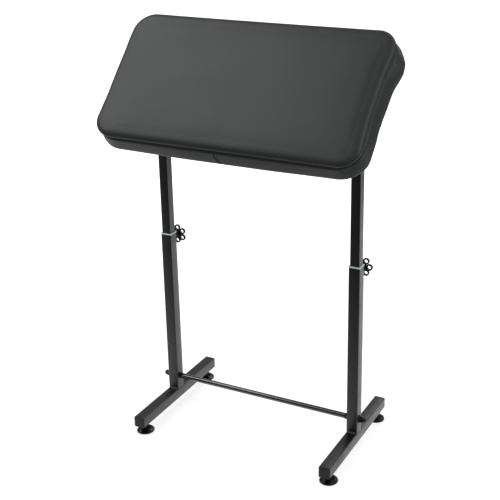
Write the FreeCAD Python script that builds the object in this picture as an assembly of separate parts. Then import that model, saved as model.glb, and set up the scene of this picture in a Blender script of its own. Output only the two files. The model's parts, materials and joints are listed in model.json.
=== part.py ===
"""Tattoo arm rest stand: a tilting upholstered pad on two telescopic square posts.

Millimetres, +Z up.  The origin lies on the floor, midway between the two posts and midway
between the stand's foremost and rearmost points.  X runs along the pad, and -Y is the side
that the arm is laid on from.  Left is -X.
"""
import FreeCAD
import Part

import math
import os

Vector = FreeCAD.Vector
X_AXIS = Vector(1, 0, 0)
Y_AXIS = Vector(0, 1, 0)
Z_AXIS = Vector(0, 0, 1)

# Square steel tubes of the floor frame
BAR_WIDTH = 25.0
BAR_WALL = 1.2
BAR_TUBE_LENGTH = 309.0
POST_SPACING = 453.0
POST_WIDTH = 25.0
POST_WALL = 1.2
POST_TUBE_LENGTH = 387.0
TUBE_CORNER = 1.2
WELD_LEG = 3.0
WELD_END_GAP = 2.0

# Plastic plugs that close the foot bars
PLUG_HEAD = 3.0
PLUG_DEPTH = 14.0
PLUG_WALL = 2.0
PLUG_FIT = 0.05

# Levelling feet, screwed into nuts that are welded inside the bars
FLOOR_TO_BAR = 20.5
FOOT_FROM_END = 24.0
THREAD = 8.0
THREAD_CLEARANCE = 0.05
GLIDE_DIAMETER = 40.0
GLIDE_RIM = 5.0
GLIDE_HUB_DIAMETER = 22.0
GLIDE_DISH = 3.0
GLIDE_HEX = 17.0
GLIDE_HEX_HEIGHT = 4.0
GLIDE_SOCKET = 8.0
FOOT_STUD_IN_BAR = 12.0

# Cross rod between the posts, with threaded ends
ROD_DIAMETER = 12.0
ROD_ABOVE_BAR = 31.0
ROD_END_IN_NUT = 8.0
ROD_HOLE_CLEARANCE = 0.3
NUT_FLATS = 13.0
NUT_HEIGHT = 6.5
WASHER_DIAMETER = 17.0
WASHER_THICKNESS = 1.6
DOME_DIAMETER = 12.0
DOME_HEIGHT = 15.0
DOME_STEPS = 2

# Green bushing in the mouth of each outer post
BUSHING_LIP = 2.5
BUSHING_LIP_OVERHANG = 0.7
BUSHING_SLEEVE = 30.0
BUSHING_FIT = 0.03
SLIDE_CLEARANCE = 0.1

# Height clamp: a nut welded on the back of each outer post, a screw and a knob
CLAMP_BELOW_TOP = 14.0
CLAMP_NUT_HEIGHT = 7.0
NUT_HOLE_CLEARANCE = 0.5
CLAMP_TIP_GAP = 0.1
HEIGHT_KNOB_STANDOFF = 13.0

# Six-ring knob of the height clamps
KNOB_RINGS = 6
KNOB_RING_CENTRES = 29.6
KNOB_RING_DIAMETER = 14.2
KNOB_RING_HOLE = 7.9
KNOB_RING_HEIGHT = 6.4
KNOB_HUB_DIAMETER = 18.0
KNOB_HUB_RISE = 1.5
KNOB_HUB_EDGE = 1.5
KNOB_NECK_DIAMETER = 13.0
KNOB_NECK = 7.5
KNOB_SOCKET = 12.0
KNOB_SOCKET_END_GAP = 0.2
KNOB_TURN_DEG = {"left": 30.0, "right": 0.0}

# Inner posts that carry the pad
INNER_WIDTH = 21.0
INNER_WALL = 1.2
INNER_TUBE_LENGTH = 414.0
INNER_SHOWING = 320.0
INSERT_DEPTH = 26.0
INSERT_CAP = 2.0
INSERT_FIT = 0.05
GLIDE_RING = 4.0
GLIDE_RING_CLEARANCE = 0.15
GLIDE_RING_CORNER = 1.0
GLIDE_PLUG_DEPTH = 14.0

# Tilting joint between each inner post and the pad
PIVOT_BELOW_TUBE_TOP = 12.0
PIVOT_CLEARANCE = 0.08
FRICTION_WASHER_DIAMETER = 22.0
FRICTION_WASHER_THICKNESS = 1.5
WASHER_SIDE_GAP = 0.05
EAR_THICKNESS = 3.0
EAR_END_RADIUS = 14.0
EAR_ROOT_WIDTH = 42.0
EAR_WELD = 2.0
PLATE_LENGTH = 78.0
PLATE_DEPTH = 58.0
PLATE_THICKNESS = 4.2
PLATE_CORNER = 6.0
SCREW_FROM_PLATE_EDGE = 10.0
TILT_NUT_HEIGHT = 6.5
TILT_KNOB_GAP = 0.1
TILT_KNOB_DIAMETER = 34.0
TILT_KNOB_GRIP = 9.0
PAD_STANDOFF = 42.0
PAD_TILT_DEG = 46.0

# Hexagon screws that hold the brackets to the board
SCREW_THREAD = 6.0
SCREW_LENGTH = 14.0
SCREW_HEAD_FLATS = 10.0
SCREW_HEAD_HEIGHT = 4.0
SCREW_HOLE_CLEARANCE = 0.3
SCREW_FIT = 0.02
SCREW_TIP_GAP = 0.3

# Upholstered pad, measured at its widest line below the seam
PAD_OVERHANG = 76.0
PAD_DEPTH = 315.0
PAD_CORNER = 74.0
BOARD_THICKNESS = 12.0
BOARD_SIDE_GAP = 0.3
COVER_THICKNESS = 1.2
COVER_RETURN = 22.0
DUST_COVER_GAP = 0.3
FOAM_GAP = 0.2
UNDER_TUCK = 4.6
BELLY_HEIGHT = 12.0
BOXING_HEIGHT = 36.0
SEAM_STEP = 7.4
SEAM_PINCH = 1.4
SEAM_BAND = 5.5
SHOULDER_REACH = 5.5
SHOULDER_RISE = 5.0
TOP_REACH = 18.4
TOP_RISE = 8.3
CROWN_DEPTH_SHARE = 0.263
CROWN_RISE = 2.8
SIDE_HOLLOW = 4.6
TOP_CORNER = 44.0

# Cutting tools run past the walls that they open by this much
OVERRUN = 1.0

BAR_LENGTH = BAR_TUBE_LENGTH + 2 * PLUG_HEAD
BAR_TOP = FLOOR_TO_BAR + BAR_WIDTH
POST_TOP = BAR_TOP + POST_TUBE_LENGTH
BUSHING_TOP = POST_TOP + BUSHING_LIP
INNER_TOP = BUSHING_TOP + INNER_SHOWING
INNER_BOTTOM = INNER_TOP - INNER_TUBE_LENGTH
PIVOT_HEIGHT = INNER_TOP - PIVOT_BELOW_TUBE_TOP
ROD_HEIGHT = BAR_TOP + ROD_ABOVE_BAR
CLAMP_HEIGHT = POST_TOP - CLAMP_BELOW_TOP
PLATE_BOTTOM = PAD_STANDOFF + COVER_THICKNESS - PLATE_THICKNESS
PAD_WIDTH = POST_SPACING + 2 * PAD_OVERHANG
CROWN_REACH = PAD_DEPTH * CROWN_DEPTH_SHARE
POST_BORE = POST_WIDTH - 2 * POST_WALL
INNER_BORE = INNER_WIDTH - 2 * INNER_WALL
THREAD_BORE = THREAD + 2 * THREAD_CLEARANCE
EAR_GAP = INNER_WIDTH + 2 * FRICTION_WASHER_THICKNESS + 4 * WASHER_SIDE_GAP
BOARD_BOTTOM = PAD_STANDOFF + COVER_THICKNESS
BOARD_TOP = BOARD_BOTTOM + BOARD_THICKNESS
BOARD_MARGIN = UNDER_TUCK + COVER_THICKNESS + SIDE_HOLLOW + BOARD_SIDE_GAP
SIDES = (("left", -1), ("right", 1))
ENDS = (("front", -1), ("rear", 1))


def rounded_outline(size_x, size_y, radius):
    """A closed wire of four lines and four corner arcs, centred on the origin."""
    reach_x = size_x / 2
    reach_y = size_y / 2
    straight_x = reach_x - radius
    straight_y = reach_y - radius
    diagonal = radius * math.sqrt(0.5)
    edges = []
    for sx, sy in ((1, 1), (-1, 1), (-1, -1), (1, -1)):
        on_side = Vector(sx * reach_x, sy * straight_y, 0)
        on_end = Vector(sx * straight_x, sy * reach_y, 0)
        middle = Vector(sx * (straight_x + diagonal), sy * (straight_y + diagonal), 0)
        start, stop = (on_side, on_end) if sx * sy > 0 else (on_end, on_side)
        if edges:
            edges.append(Part.makeLine(last, start))
        else:
            first = start
        edges.append(Part.Arc(start, middle, stop).toShape())
        last = stop
    edges.append(Part.makeLine(last, first))
    return Part.Wire(edges)


def prism(size_x, size_y, radius, height, bottom=0):
    """An upright block with rounded vertical edges."""
    block = Part.Face(rounded_outline(size_x, size_y, radius)).extrude(Z_AXIS * height)
    return block.translated(Z_AXIS * bottom)


def cut_prism(size_x, size_y, corner, height, bottom=0):
    """An upright block whose vertical edges are cut off at 45 degrees."""
    reach_x = size_x / 2
    reach_y = size_y / 2
    flat_x = reach_x - corner
    flat_y = reach_y - corner
    places = [
        (reach_x, flat_y), (flat_x, reach_y), (-flat_x, reach_y), (-reach_x, flat_y),
        (-reach_x, -flat_y), (-flat_x, -reach_y), (flat_x, -reach_y), (reach_x, -flat_y), (reach_x, flat_y)]
    outline = Part.makePolygon([Vector(x, y, bottom) for x, y in places])
    return Part.Face(outline).extrude(Z_AXIS * height)


def square_block(width, height, bottom=0):
    """An upright square block, centred on the Z axis."""
    return Part.makeBox(width, width, height, Vector(-width / 2, -width / 2, bottom))


def square_tube(width, wall, length):
    """A square tube that stands on the origin."""
    hollow = square_block(width - 2 * wall, length + 2 * OVERRUN, -OVERRUN)
    return cut_prism(width, width, TUBE_CORNER, length).cut(hollow)


def turned(points):
    """A solid of revolution about Z from a closed (radius, height) outline."""
    outline = Part.makePolygon([Vector(radius, 0, height) for radius, height in points + points[:1]])
    return Part.Face(outline).revolve(Vector(0, 0, 0), Z_AXIS, 360)


def tube_ring(outer, inner, height, bottom=0):
    """A round washer or sleeve about Z."""
    ring = Part.makeCylinder(outer / 2, height)
    bore = Part.makeCylinder(inner / 2, height + 2 * OVERRUN, Vector(0, 0, -OVERRUN))
    return ring.cut(bore).translated(Z_AXIS * bottom)


def hex_block(flats, height, bottom=0):
    """A hexagon about Z."""
    corner = flats / math.sqrt(3)
    turns = [math.radians(60 * step) for step in range(7)]
    outline = Part.makePolygon([Vector(corner * math.cos(a), corner * math.sin(a), bottom) for a in turns])
    return Part.Face(outline).extrude(Z_AXIS * height)


def hex_nut(flats, height, bore):
    """A hexagon nut about Z, with a plain bore."""
    return hex_block(flats, height).cut(
        Part.makeCylinder(bore / 2, height + 2 * OVERRUN, Vector(0, 0, -OVERRUN)))


def cross_bore(diameter, length, axis, centre):
    """A cutting cylinder of the given length, centred on a point."""
    return Part.makeCylinder(diameter / 2, length, centre - axis * (length / 2), axis)


def moved(shape, offset, rotation):
    """A copy of a shape, turned about the origin and then shifted."""
    copy = shape.copy()
    copy.Placement = FreeCAD.Placement(offset, rotation) * copy.Placement
    return copy


def aimed(shape, axis):
    """Turns a shape built about +Z so that it points along the given axis."""
    return moved(shape, Vector(0, 0, 0), FreeCAD.Rotation(Z_AXIS, axis))


def group(shapes):
    """Identical pieces kept as separate solids of one node."""
    return Part.makeCompound(shapes)


def post_x(side):
    """X of a post's centre line; side is -1 on the left and 1 on the right."""
    return side * POST_SPACING / 2


def foot_y(end):
    """Y of a levelling foot; end is -1 at the front and 1 at the rear."""
    return end * (BAR_LENGTH / 2 - FOOT_FROM_END)


def foot_bar(side):
    """A floor tube along Y with two round holes in its underside."""
    tube = aimed(square_tube(BAR_WIDTH, BAR_WALL, BAR_TUBE_LENGTH), Y_AXIS)
    bar = tube.translated(Vector(0, -BAR_TUBE_LENGTH / 2, BAR_WIDTH / 2))
    for _, end in ENDS:
        hole = Part.makeCylinder(
            THREAD / 2 + NUT_HOLE_CLEARANCE, BAR_WALL + 2 * OVERRUN, Vector(0, foot_y(end), -OVERRUN))
        bar = bar.cut(hole)
    return bar.translated(Vector(post_x(side), 0, FLOOR_TO_BAR))


def bar_end_plug(side, end):
    """A plastic plug with a square head and a hollow skirt."""
    head = cut_prism(BAR_WIDTH, BAR_WIDTH, TUBE_CORNER, PLUG_HEAD)
    skirt_width = BAR_WIDTH - 2 * BAR_WALL - 2 * PLUG_FIT
    skirt = square_block(skirt_width, PLUG_DEPTH, -PLUG_DEPTH)
    well = square_block(skirt_width - 2 * PLUG_WALL, PLUG_DEPTH, -PLUG_DEPTH - OVERRUN)
    plug = aimed(head.fuse(skirt.cut(well)), Y_AXIS * end)
    return plug.translated(Vector(post_x(side), end * BAR_TUBE_LENGTH / 2, FLOOR_TO_BAR + BAR_WIDTH / 2))


def outer_post(side):
    """The fixed square post, drilled for the cross rod and for the height clamp."""
    post = square_tube(POST_WIDTH, POST_WALL, POST_TUBE_LENGTH)
    rod_hole = cross_bore(
        THREAD + 2 * ROD_HOLE_CLEARANCE, POST_WIDTH + 2 * OVERRUN, X_AXIS, Vector(0, 0, ROD_ABOVE_BAR))
    clamp_hole = Part.makeCylinder(
        THREAD / 2 + NUT_HOLE_CLEARANCE, POST_WIDTH,
        Vector(0, 0, POST_TUBE_LENGTH - CLAMP_BELOW_TOP), Y_AXIS)
    return post.cut(rod_hole).cut(clamp_hole).translated(Vector(post_x(side), 0, BAR_TOP))


def post_weld(side, end):
    """The fillet weld across the front or back of a post's foot."""
    corner = Vector(-POST_WIDTH / 2 + WELD_END_GAP, end * POST_WIDTH / 2, 0)
    outline = Part.makePolygon([
        corner, corner + Y_AXIS * (end * WELD_LEG), corner + Z_AXIS * WELD_LEG, corner])
    bead = Part.Face(outline).extrude(X_AXIS * (POST_WIDTH - 2 * WELD_END_GAP))
    return bead.translated(Vector(post_x(side), 0, BAR_TOP))


def post_bushing(side):
    """The green sleeve in a post's mouth, with a lip that rests on the tube's end."""
    lip_width = POST_WIDTH + 2 * BUSHING_LIP_OVERHANG
    lip = cut_prism(lip_width, lip_width, TUBE_CORNER, BUSHING_LIP)
    sleeve = square_block(POST_BORE - 2 * BUSHING_FIT, BUSHING_SLEEVE, -BUSHING_SLEEVE)
    passage_height = BUSHING_LIP + BUSHING_SLEEVE + 2 * OVERRUN
    passage = square_block(INNER_WIDTH + 2 * SLIDE_CLEARANCE, passage_height, -BUSHING_SLEEVE - OVERRUN)
    screw_hole = Part.makeCylinder(
        THREAD / 2 + NUT_HOLE_CLEARANCE, POST_WIDTH, Vector(0, 0, -CLAMP_BELOW_TOP), Y_AXIS)
    bushing = lip.fuse(sleeve).cut(passage).cut(screw_hole)
    return bushing.translated(Vector(post_x(side), 0, POST_TOP))


def clamp_nut(side):
    """The hexagon nut welded over the clamp hole on the back of a post."""
    nut = aimed(hex_nut(NUT_FLATS, CLAMP_NUT_HEIGHT, THREAD_BORE), Y_AXIS)
    return nut.translated(Vector(post_x(side), POST_WIDTH / 2, CLAMP_HEIGHT))


def cross_rod():
    """The round rod between the posts, stepped down to a thread at both ends."""
    shoulder = POST_SPACING / 2 - POST_WIDTH / 2 - NUT_HEIGHT
    tip = POST_SPACING / 2 + POST_WIDTH / 2 + WASHER_THICKNESS + ROD_END_IN_NUT
    rod = turned([
        (0, -tip), (THREAD / 2, -tip), (THREAD / 2, -shoulder), (ROD_DIAMETER / 2, -shoulder),
        (ROD_DIAMETER / 2, shoulder), (THREAD / 2, shoulder), (THREAD / 2, tip), (0, tip),
    ])
    return aimed(rod, X_AXIS).translated(Z_AXIS * ROD_HEIGHT)


def rod_washer(side):
    """The washer between a post's outer side and the domed nut."""
    ring = tube_ring(WASHER_DIAMETER, THREAD_BORE, WASHER_THICKNESS, POST_WIDTH / 2)
    return aimed(ring, X_AXIS * side).translated(Vector(post_x(side), 0, ROD_HEIGHT))


def rod_inner_nut(side):
    """The plain nut between the rod's shoulder and a post's inner side."""
    nut = hex_nut(NUT_FLATS, NUT_HEIGHT, THREAD_BORE).translated(Z_AXIS * (POST_WIDTH / 2))
    return aimed(nut, X_AXIS * -side).translated(Vector(post_x(side), 0, ROD_HEIGHT))


def rod_dome_nut(side):
    """The domed nut that ends the rod outside a post."""
    radius = DOME_DIAMETER / 2
    turns = [math.pi / 2 * step / DOME_STEPS for step in range(DOME_STEPS + 1)]
    base = DOME_HEIGHT - radius
    crown = [(radius * math.cos(turn), base + radius * math.sin(turn)) for turn in turns[:-1]]
    dome = turned([(0, NUT_HEIGHT / 2), (radius, NUT_HEIGHT / 2)] + crown + [(0, DOME_HEIGHT)])
    socket = Part.makeCylinder(
        THREAD_BORE / 2, ROD_END_IN_NUT + BUSHING_FIT + OVERRUN, Vector(0, 0, -OVERRUN))
    nut = hex_block(NUT_FLATS, NUT_HEIGHT).fuse(dome).cut(socket)
    nut = nut.translated(Z_AXIS * (POST_WIDTH / 2 + WASHER_THICKNESS))
    return aimed(nut, X_AXIS * side).translated(Vector(post_x(side), 0, ROD_HEIGHT))


def foot_nut(side, end):
    """The nut welded inside a bar over a levelling foot's hole."""
    nut = hex_nut(NUT_FLATS, NUT_HEIGHT, THREAD_BORE)
    return nut.translated(Vector(post_x(side), foot_y(end), FLOOR_TO_BAR + BAR_WALL))


def foot_stud(side, end):
    """The threaded stem of a levelling foot."""
    bottom = GLIDE_RIM + GLIDE_DISH + GLIDE_HEX_HEIGHT - GLIDE_SOCKET
    length = FLOOR_TO_BAR + FOOT_STUD_IN_BAR - bottom
    return Part.makeCylinder(THREAD / 2, length, Vector(post_x(side), foot_y(end), bottom))


def foot_glide(side, end):
    """The round foot: a coned disc with a hexagon on top for a spanner."""
    rim = GLIDE_DIAMETER / 2
    crown = GLIDE_RIM + GLIDE_DISH
    disc = turned([
        (0, 0), (rim, 0), (rim, GLIDE_RIM), (GLIDE_HUB_DIAMETER / 2, crown), (0, crown),
    ])
    hexagon = hex_block(GLIDE_HEX, GLIDE_HEX_HEIGHT, crown)
    top = crown + GLIDE_HEX_HEIGHT
    socket = Part.makeCylinder(
        THREAD_BORE / 2, GLIDE_SOCKET + OVERRUN, Vector(0, 0, top - GLIDE_SOCKET - THREAD_CLEARANCE))
    return disc.fuse(hexagon).cut(socket).translated(Vector(post_x(side), foot_y(end), 0))


def ring_knob():
    """The six-ring knob about Z: neck at the origin, rings above it, one ring along +X."""
    top = KNOB_NECK + KNOB_RING_HEIGHT + KNOB_HUB_RISE
    neck = KNOB_NECK_DIAMETER / 2
    hub = KNOB_HUB_DIAMETER / 2
    knob = turned([
        (0, 0), (neck, 0), (neck, KNOB_NECK), (hub, KNOB_NECK), (hub, top - KNOB_HUB_EDGE),
        (hub - KNOB_HUB_EDGE, top), (0, top),
    ])
    disc = Part.makeCylinder(KNOB_RING_DIAMETER / 2, KNOB_RING_HEIGHT, Vector(0, 0, KNOB_NECK))
    hole = Part.makeCylinder(KNOB_RING_HOLE / 2, top + OVERRUN)
    for step in range(KNOB_RINGS):
        angle = 2 * math.pi * step / KNOB_RINGS
        centre = Vector(math.cos(angle), math.sin(angle), 0) * (KNOB_RING_CENTRES / 2)
        knob = knob.fuse(disc.translated(centre)).cut(hole.translated(centre))
    socket = Part.makeCylinder(
        THREAD_BORE / 2, KNOB_SOCKET + KNOB_SOCKET_END_GAP + OVERRUN, Vector(0, 0, -OVERRUN))
    return knob.removeSplitter().cut(socket)


def round_knob():
    """The plain round knob of the tilt screws, about Z, with its neck at the origin."""
    top = KNOB_NECK + TILT_KNOB_GRIP
    neck = KNOB_NECK_DIAMETER / 2
    rim = TILT_KNOB_DIAMETER / 2
    knob = turned([(0, 0), (neck, 0), (neck, KNOB_NECK), (rim, KNOB_NECK), (rim, top), (0, top)])
    return knob.cut(Part.makeCylinder(
        THREAD_BORE / 2, KNOB_SOCKET + KNOB_SOCKET_END_GAP + OVERRUN, Vector(0, 0, -OVERRUN)))


def threaded_stem(length):
    """A plain round stem from the origin up."""
    return Part.makeCylinder(THREAD / 2, length)


def height_screw(side):
    """The clamp screw, from the inner post's back face to inside the knob."""
    start = INNER_WIDTH / 2 + CLAMP_TIP_GAP
    stop = POST_WIDTH / 2 + HEIGHT_KNOB_STANDOFF + KNOB_SOCKET
    return aimed(threaded_stem(stop - start), Y_AXIS).translated(
        Vector(post_x(side), start, CLAMP_HEIGHT))


def height_knob(side, turn_deg):
    """The knob on the clamp screw behind a post; at 0 degrees one ring points to +X."""
    knob = moved(ring_knob(), Vector(0, 0, 0), FreeCAD.Rotation(Z_AXIS, turn_deg))
    return aimed(knob, Y_AXIS).translated(
        Vector(post_x(side), POST_WIDTH / 2 + HEIGHT_KNOB_STANDOFF, CLAMP_HEIGHT))


def inner_post(side):
    """The sliding square post, drilled across its top for the tilt screw."""
    post = square_tube(INNER_WIDTH, INNER_WALL, INNER_TUBE_LENGTH).translated(
        Vector(post_x(side), 0, INNER_BOTTOM))
    pivot = Vector(post_x(side), 0, PIVOT_HEIGHT)
    return post.cut(cross_bore(THREAD + 2 * PIVOT_CLEARANCE, INNER_WIDTH + 2 * OVERRUN, X_AXIS, pivot))


def post_top_insert(side):
    """The solid plastic insert that stops the tilt screw crushing the tube."""
    body = square_block(INNER_BORE - 2 * INSERT_FIT, INSERT_DEPTH, -INSERT_DEPTH)
    cap = cut_prism(INNER_WIDTH, INNER_WIDTH, TUBE_CORNER, INSERT_CAP)
    bore = cross_bore(
        THREAD + 2 * PIVOT_CLEARANCE, INNER_WIDTH + 2 * OVERRUN, X_AXIS, Z_AXIS * -PIVOT_BELOW_TUBE_TOP)
    return body.fuse(cap).cut(bore).translated(Vector(post_x(side), 0, INNER_TOP))


def post_end_glide(side):
    """The plastic shoe on an inner post's lower end, running in the outer post's bore."""
    ring_width = POST_BORE - 2 * GLIDE_RING_CLEARANCE
    ring = cut_prism(ring_width, ring_width, GLIDE_RING_CORNER, GLIDE_RING, -GLIDE_RING)
    plug = square_block(INNER_BORE - 2 * INSERT_FIT, GLIDE_PLUG_DEPTH)
    return ring.fuse(plug).translated(Vector(post_x(side), 0, INNER_BOTTOM))


def friction_washer(side, face):
    """A nylon washer between an inner post and a bracket ear."""
    ring = tube_ring(
        FRICTION_WASHER_DIAMETER, THREAD + 2 * PIVOT_CLEARANCE, FRICTION_WASHER_THICKNESS,
        INNER_WIDTH / 2 + WASHER_SIDE_GAP)
    return aimed(ring, X_AXIS * (side * face)).translated(Vector(post_x(side), 0, PIVOT_HEIGHT))


def on_pad(shape):
    """Moves a shape from the pad's own frame, whose origin is the tilt axis, into place."""
    return moved(shape, Z_AXIS * PIVOT_HEIGHT, FreeCAD.Rotation(X_AXIS, PAD_TILT_DEG))


def bracket_screw_places(side):
    """The four (x, y) places of a bracket's screws in the pad's frame."""
    reach_x = PLATE_LENGTH / 2 - SCREW_FROM_PLATE_EDGE
    reach_y = PLATE_DEPTH / 2 - SCREW_FROM_PLATE_EDGE
    return [(post_x(side) + sx * reach_x, sy * reach_y) for sx in (-1, 1) for sy in (-1, 1)]


def bracket_ear():
    """One ear in the YZ plane, tapering from the plate to a round end about the tilt axis."""
    root = PLATE_BOTTOM
    reach = EAR_ROOT_WIDTH / 2
    distance = math.hypot(reach, root)
    lean = math.atan2(reach, root) + math.acos(EAR_END_RADIUS / distance)
    touch_y = EAR_END_RADIUS * math.sin(lean)
    touch_z = EAR_END_RADIUS * math.cos(lean)
    front_root = Vector(0, -reach, root)
    rear_root = Vector(0, reach, root)
    front_touch = Vector(0, -touch_y, touch_z)
    rear_touch = Vector(0, touch_y, touch_z)
    outline = Part.Wire([
        Part.makeLine(front_touch, front_root),
        Part.makeLine(front_root, rear_root),
        Part.makeLine(rear_root, rear_touch),
        Part.Arc(rear_touch, Vector(0, 0, -EAR_END_RADIUS), front_touch).toShape(),
    ])
    return Part.Face(outline).extrude(X_AXIS * EAR_THICKNESS)


def pad_bracket(side):
    """A steel plate with two welded ears that straddle an inner post."""
    bottom = PLATE_BOTTOM
    bracket = cut_prism(PLATE_LENGTH, PLATE_DEPTH, PLATE_CORNER, PLATE_THICKNESS, bottom)
    ear = bracket_ear()
    bore = cross_bore(THREAD + 2 * PIVOT_CLEARANCE, PLATE_LENGTH, X_AXIS, Vector(0, 0, 0))
    for face in (-1, 1):
        start = EAR_GAP / 2 if face > 0 else -EAR_GAP / 2 - EAR_THICKNESS
        outer = face * (EAR_GAP / 2 + EAR_THICKNESS)
        corner = Vector(outer, -EAR_ROOT_WIDTH / 2, bottom)
        outline = Part.makePolygon([
            corner, corner + X_AXIS * (face * EAR_WELD), corner - Z_AXIS * EAR_WELD, corner])
        bead = Part.Face(outline).extrude(Y_AXIS * EAR_ROOT_WIDTH)
        bracket = bracket.fuse([ear.translated(X_AXIS * start), bead])
    bracket = bracket.cut(bore).translated(X_AXIS * post_x(side))
    for x, y in bracket_screw_places(side):
        bracket = bracket.cut(Part.makeCylinder(
            SCREW_THREAD / 2 + SCREW_HOLE_CLEARANCE, PLATE_THICKNESS + 2 * OVERRUN,
            Vector(x, y, bottom - OVERRUN)))
    return on_pad(bracket.removeSplitter())


def tilt_nut(side):
    """The nut welded on a bracket's outboard ear."""
    nut = hex_nut(NUT_FLATS, TILT_NUT_HEIGHT, THREAD_BORE).translated(
        Z_AXIS * (EAR_GAP / 2 + EAR_THICKNESS))
    return on_pad(aimed(nut, X_AXIS * side).translated(X_AXIS * post_x(side)))


def tilt_screw(side):
    """The screw through ears and post, from the outboard nut to inside the knob."""
    outboard = EAR_GAP / 2 + EAR_THICKNESS + TILT_NUT_HEIGHT
    inboard = EAR_GAP / 2 + EAR_THICKNESS + TILT_KNOB_GAP + KNOB_SOCKET
    stem = threaded_stem(outboard + inboard).translated(Z_AXIS * -outboard)
    return on_pad(aimed(stem, X_AXIS * -side).translated(X_AXIS * post_x(side)))


def tilt_knob(side):
    """The knob at a tilt screw's inboard end, against the ear."""
    knob = round_knob().translated(Z_AXIS * (EAR_GAP / 2 + EAR_THICKNESS + TILT_KNOB_GAP))
    return on_pad(aimed(knob, X_AXIS * -side).translated(X_AXIS * post_x(side)))


def bracket_screw(x, y):
    """A hexagon-headed screw up through the plate into the board."""
    head = hex_block(SCREW_HEAD_FLATS, SCREW_HEAD_HEIGHT, -SCREW_HEAD_HEIGHT)
    shank = Part.makeCylinder(SCREW_THREAD / 2, SCREW_LENGTH)
    return on_pad(head.fuse(shank).translated(Vector(x, y, PLATE_BOTTOM)))


def pad_block(margin, bottom, height):
    """A block with the pad's plan, drawn in by a margin."""
    return prism(PAD_WIDTH - 2 * margin, PAD_DEPTH - 2 * margin, PAD_CORNER - margin, height, bottom)


def pad_board():
    """The plywood board, with a blind hole for each bracket screw."""
    board = pad_block(BOARD_MARGIN, BOARD_BOTTOM, BOARD_THICKNESS)
    hole_depth = PLATE_BOTTOM + SCREW_LENGTH + SCREW_TIP_GAP - BOARD_BOTTOM
    hole = Part.makeCylinder(SCREW_THREAD / 2 + SCREW_FIT, hole_depth + OVERRUN)
    for _, side in SIDES:
        for x, y in bracket_screw_places(side):
            board = board.cut(hole.translated(Vector(x, y, BOARD_BOTTOM - OVERRUN)))
    return on_pad(board)


def bowed_outline(inset, corner, hollow, height):
    """One level of the pad: four corner arcs joined by sides that are drawn in midway."""
    reach_x = PAD_WIDTH / 2 - inset
    reach_y = PAD_DEPTH / 2 - inset
    straight_x = reach_x - corner
    straight_y = reach_y - corner
    diagonal = corner * math.sqrt(0.5)
    corners = []
    for sx, sy in ((1, 1), (-1, 1), (-1, -1), (1, -1)):
        on_side = Vector(sx * reach_x, sy * straight_y, height)
        on_end = Vector(sx * straight_x, sy * reach_y, height)
        middle = Vector(sx * (straight_x + diagonal), sy * (straight_y + diagonal), height)
        corners.append((on_side, middle, on_end) if sx * sy > 0 else (on_end, middle, on_side))
    edges = []
    for index, (start, middle, stop) in enumerate(corners):
        edges.append(Part.Arc(start, middle, stop).toShape())
        following = corners[(index + 1) % len(corners)][0]
        centre = (stop + following) / 2
        inward = Vector(-centre.x, -centre.y, 0).normalize()
        edges.append(Part.Arc(stop, centre + inward * hollow, following).toShape())
    return Part.Wire(edges)


def cushion_levels(skin):
    """Outlines of the cushion from its underside to its crown, drawn in by a skin's thickness.

    Each is (inset, corner radius, side hollow, height above the pad's underside).
    """
    seam = BOXING_HEIGHT
    shoulder = seam + SHOULDER_RISE
    top = shoulder + TOP_RISE
    hollow = SIDE_HOLLOW / 2
    inset = SEAM_STEP + skin
    band_corner = (PAD_CORNER + TOP_CORNER) / 2 - skin
    top_corner = TOP_CORNER - skin
    return [
        (UNDER_TUCK + skin, PAD_CORNER - UNDER_TUCK - skin, SIDE_HOLLOW, skin),
        (skin, PAD_CORNER - skin, SIDE_HOLLOW, BELLY_HEIGHT),
        (inset - SEAM_PINCH, band_corner, hollow, seam - SEAM_BAND),
        (inset, top_corner, hollow, seam),
        (inset + SHOULDER_REACH / 2, top_corner, hollow, shoulder),
        (inset + TOP_REACH, top_corner, hollow, top - skin),
        (inset + CROWN_REACH, top_corner, hollow, top + CROWN_RISE - skin),
    ]


def post_line_y():
    """Y of the posts that centres the stand between the pad's front edge and the bars' rear ends."""
    tilt = math.radians(PAD_TILT_DEG)
    pad_reach = max(
        (PAD_DEPTH / 2 - inset) * math.cos(tilt) + (PAD_STANDOFF + height) * math.sin(tilt)
        for inset, _, _, height in cushion_levels(0))
    return (max(pad_reach, BAR_LENGTH / 2) - BAR_LENGTH / 2) / 2


def cushion_body(skin):
    """The cushion's solid, or with a skin's thickness the plainer hollow inside its cover."""
    levels = cushion_levels(skin)
    if skin:
        bottom, belly, _, seam, _, top, crown = levels
        levels = [bottom, belly, seam, top, crown]
    body = Part.makeLoft([bowed_outline(*level) for level in levels], True, True)
    return body.translated(Z_AXIS * PAD_STANDOFF)


def pad_cover():
    """The sewn cover: a skin round the cushion that returns under the board's edge."""
    inside = cushion_body(COVER_THICKNESS)
    mouth = pad_block(COVER_RETURN, PAD_STANDOFF - OVERRUN, COVER_THICKNESS + 2 * OVERRUN)
    return on_pad(cushion_body(0).cut(inside).cut(mouth))


def pad_dust_cover():
    """The thin cloth that closes the underside, open round each bracket's plate."""
    cloth = pad_block(COVER_RETURN + DUST_COVER_GAP, PAD_STANDOFF, COVER_THICKNESS)
    for _, side in SIDES:
        window = cut_prism(
            PLATE_LENGTH + 2 * DUST_COVER_GAP, PLATE_DEPTH + 2 * DUST_COVER_GAP, PLATE_CORNER,
            COVER_THICKNESS + 2 * OVERRUN, PAD_STANDOFF - OVERRUN)
        cloth = cloth.cut(window.translated(X_AXIS * post_x(side)))
    return on_pad(cloth)


def pad_foam():
    """The foam on the board."""
    below = Part.makeBox(
        PAD_WIDTH, PAD_DEPTH, BOARD_TOP + FOAM_GAP, Vector(-PAD_WIDTH / 2, -PAD_DEPTH / 2, 0))
    return on_pad(cushion_body(COVER_THICKNESS + FOAM_GAP).cut(below))


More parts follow.
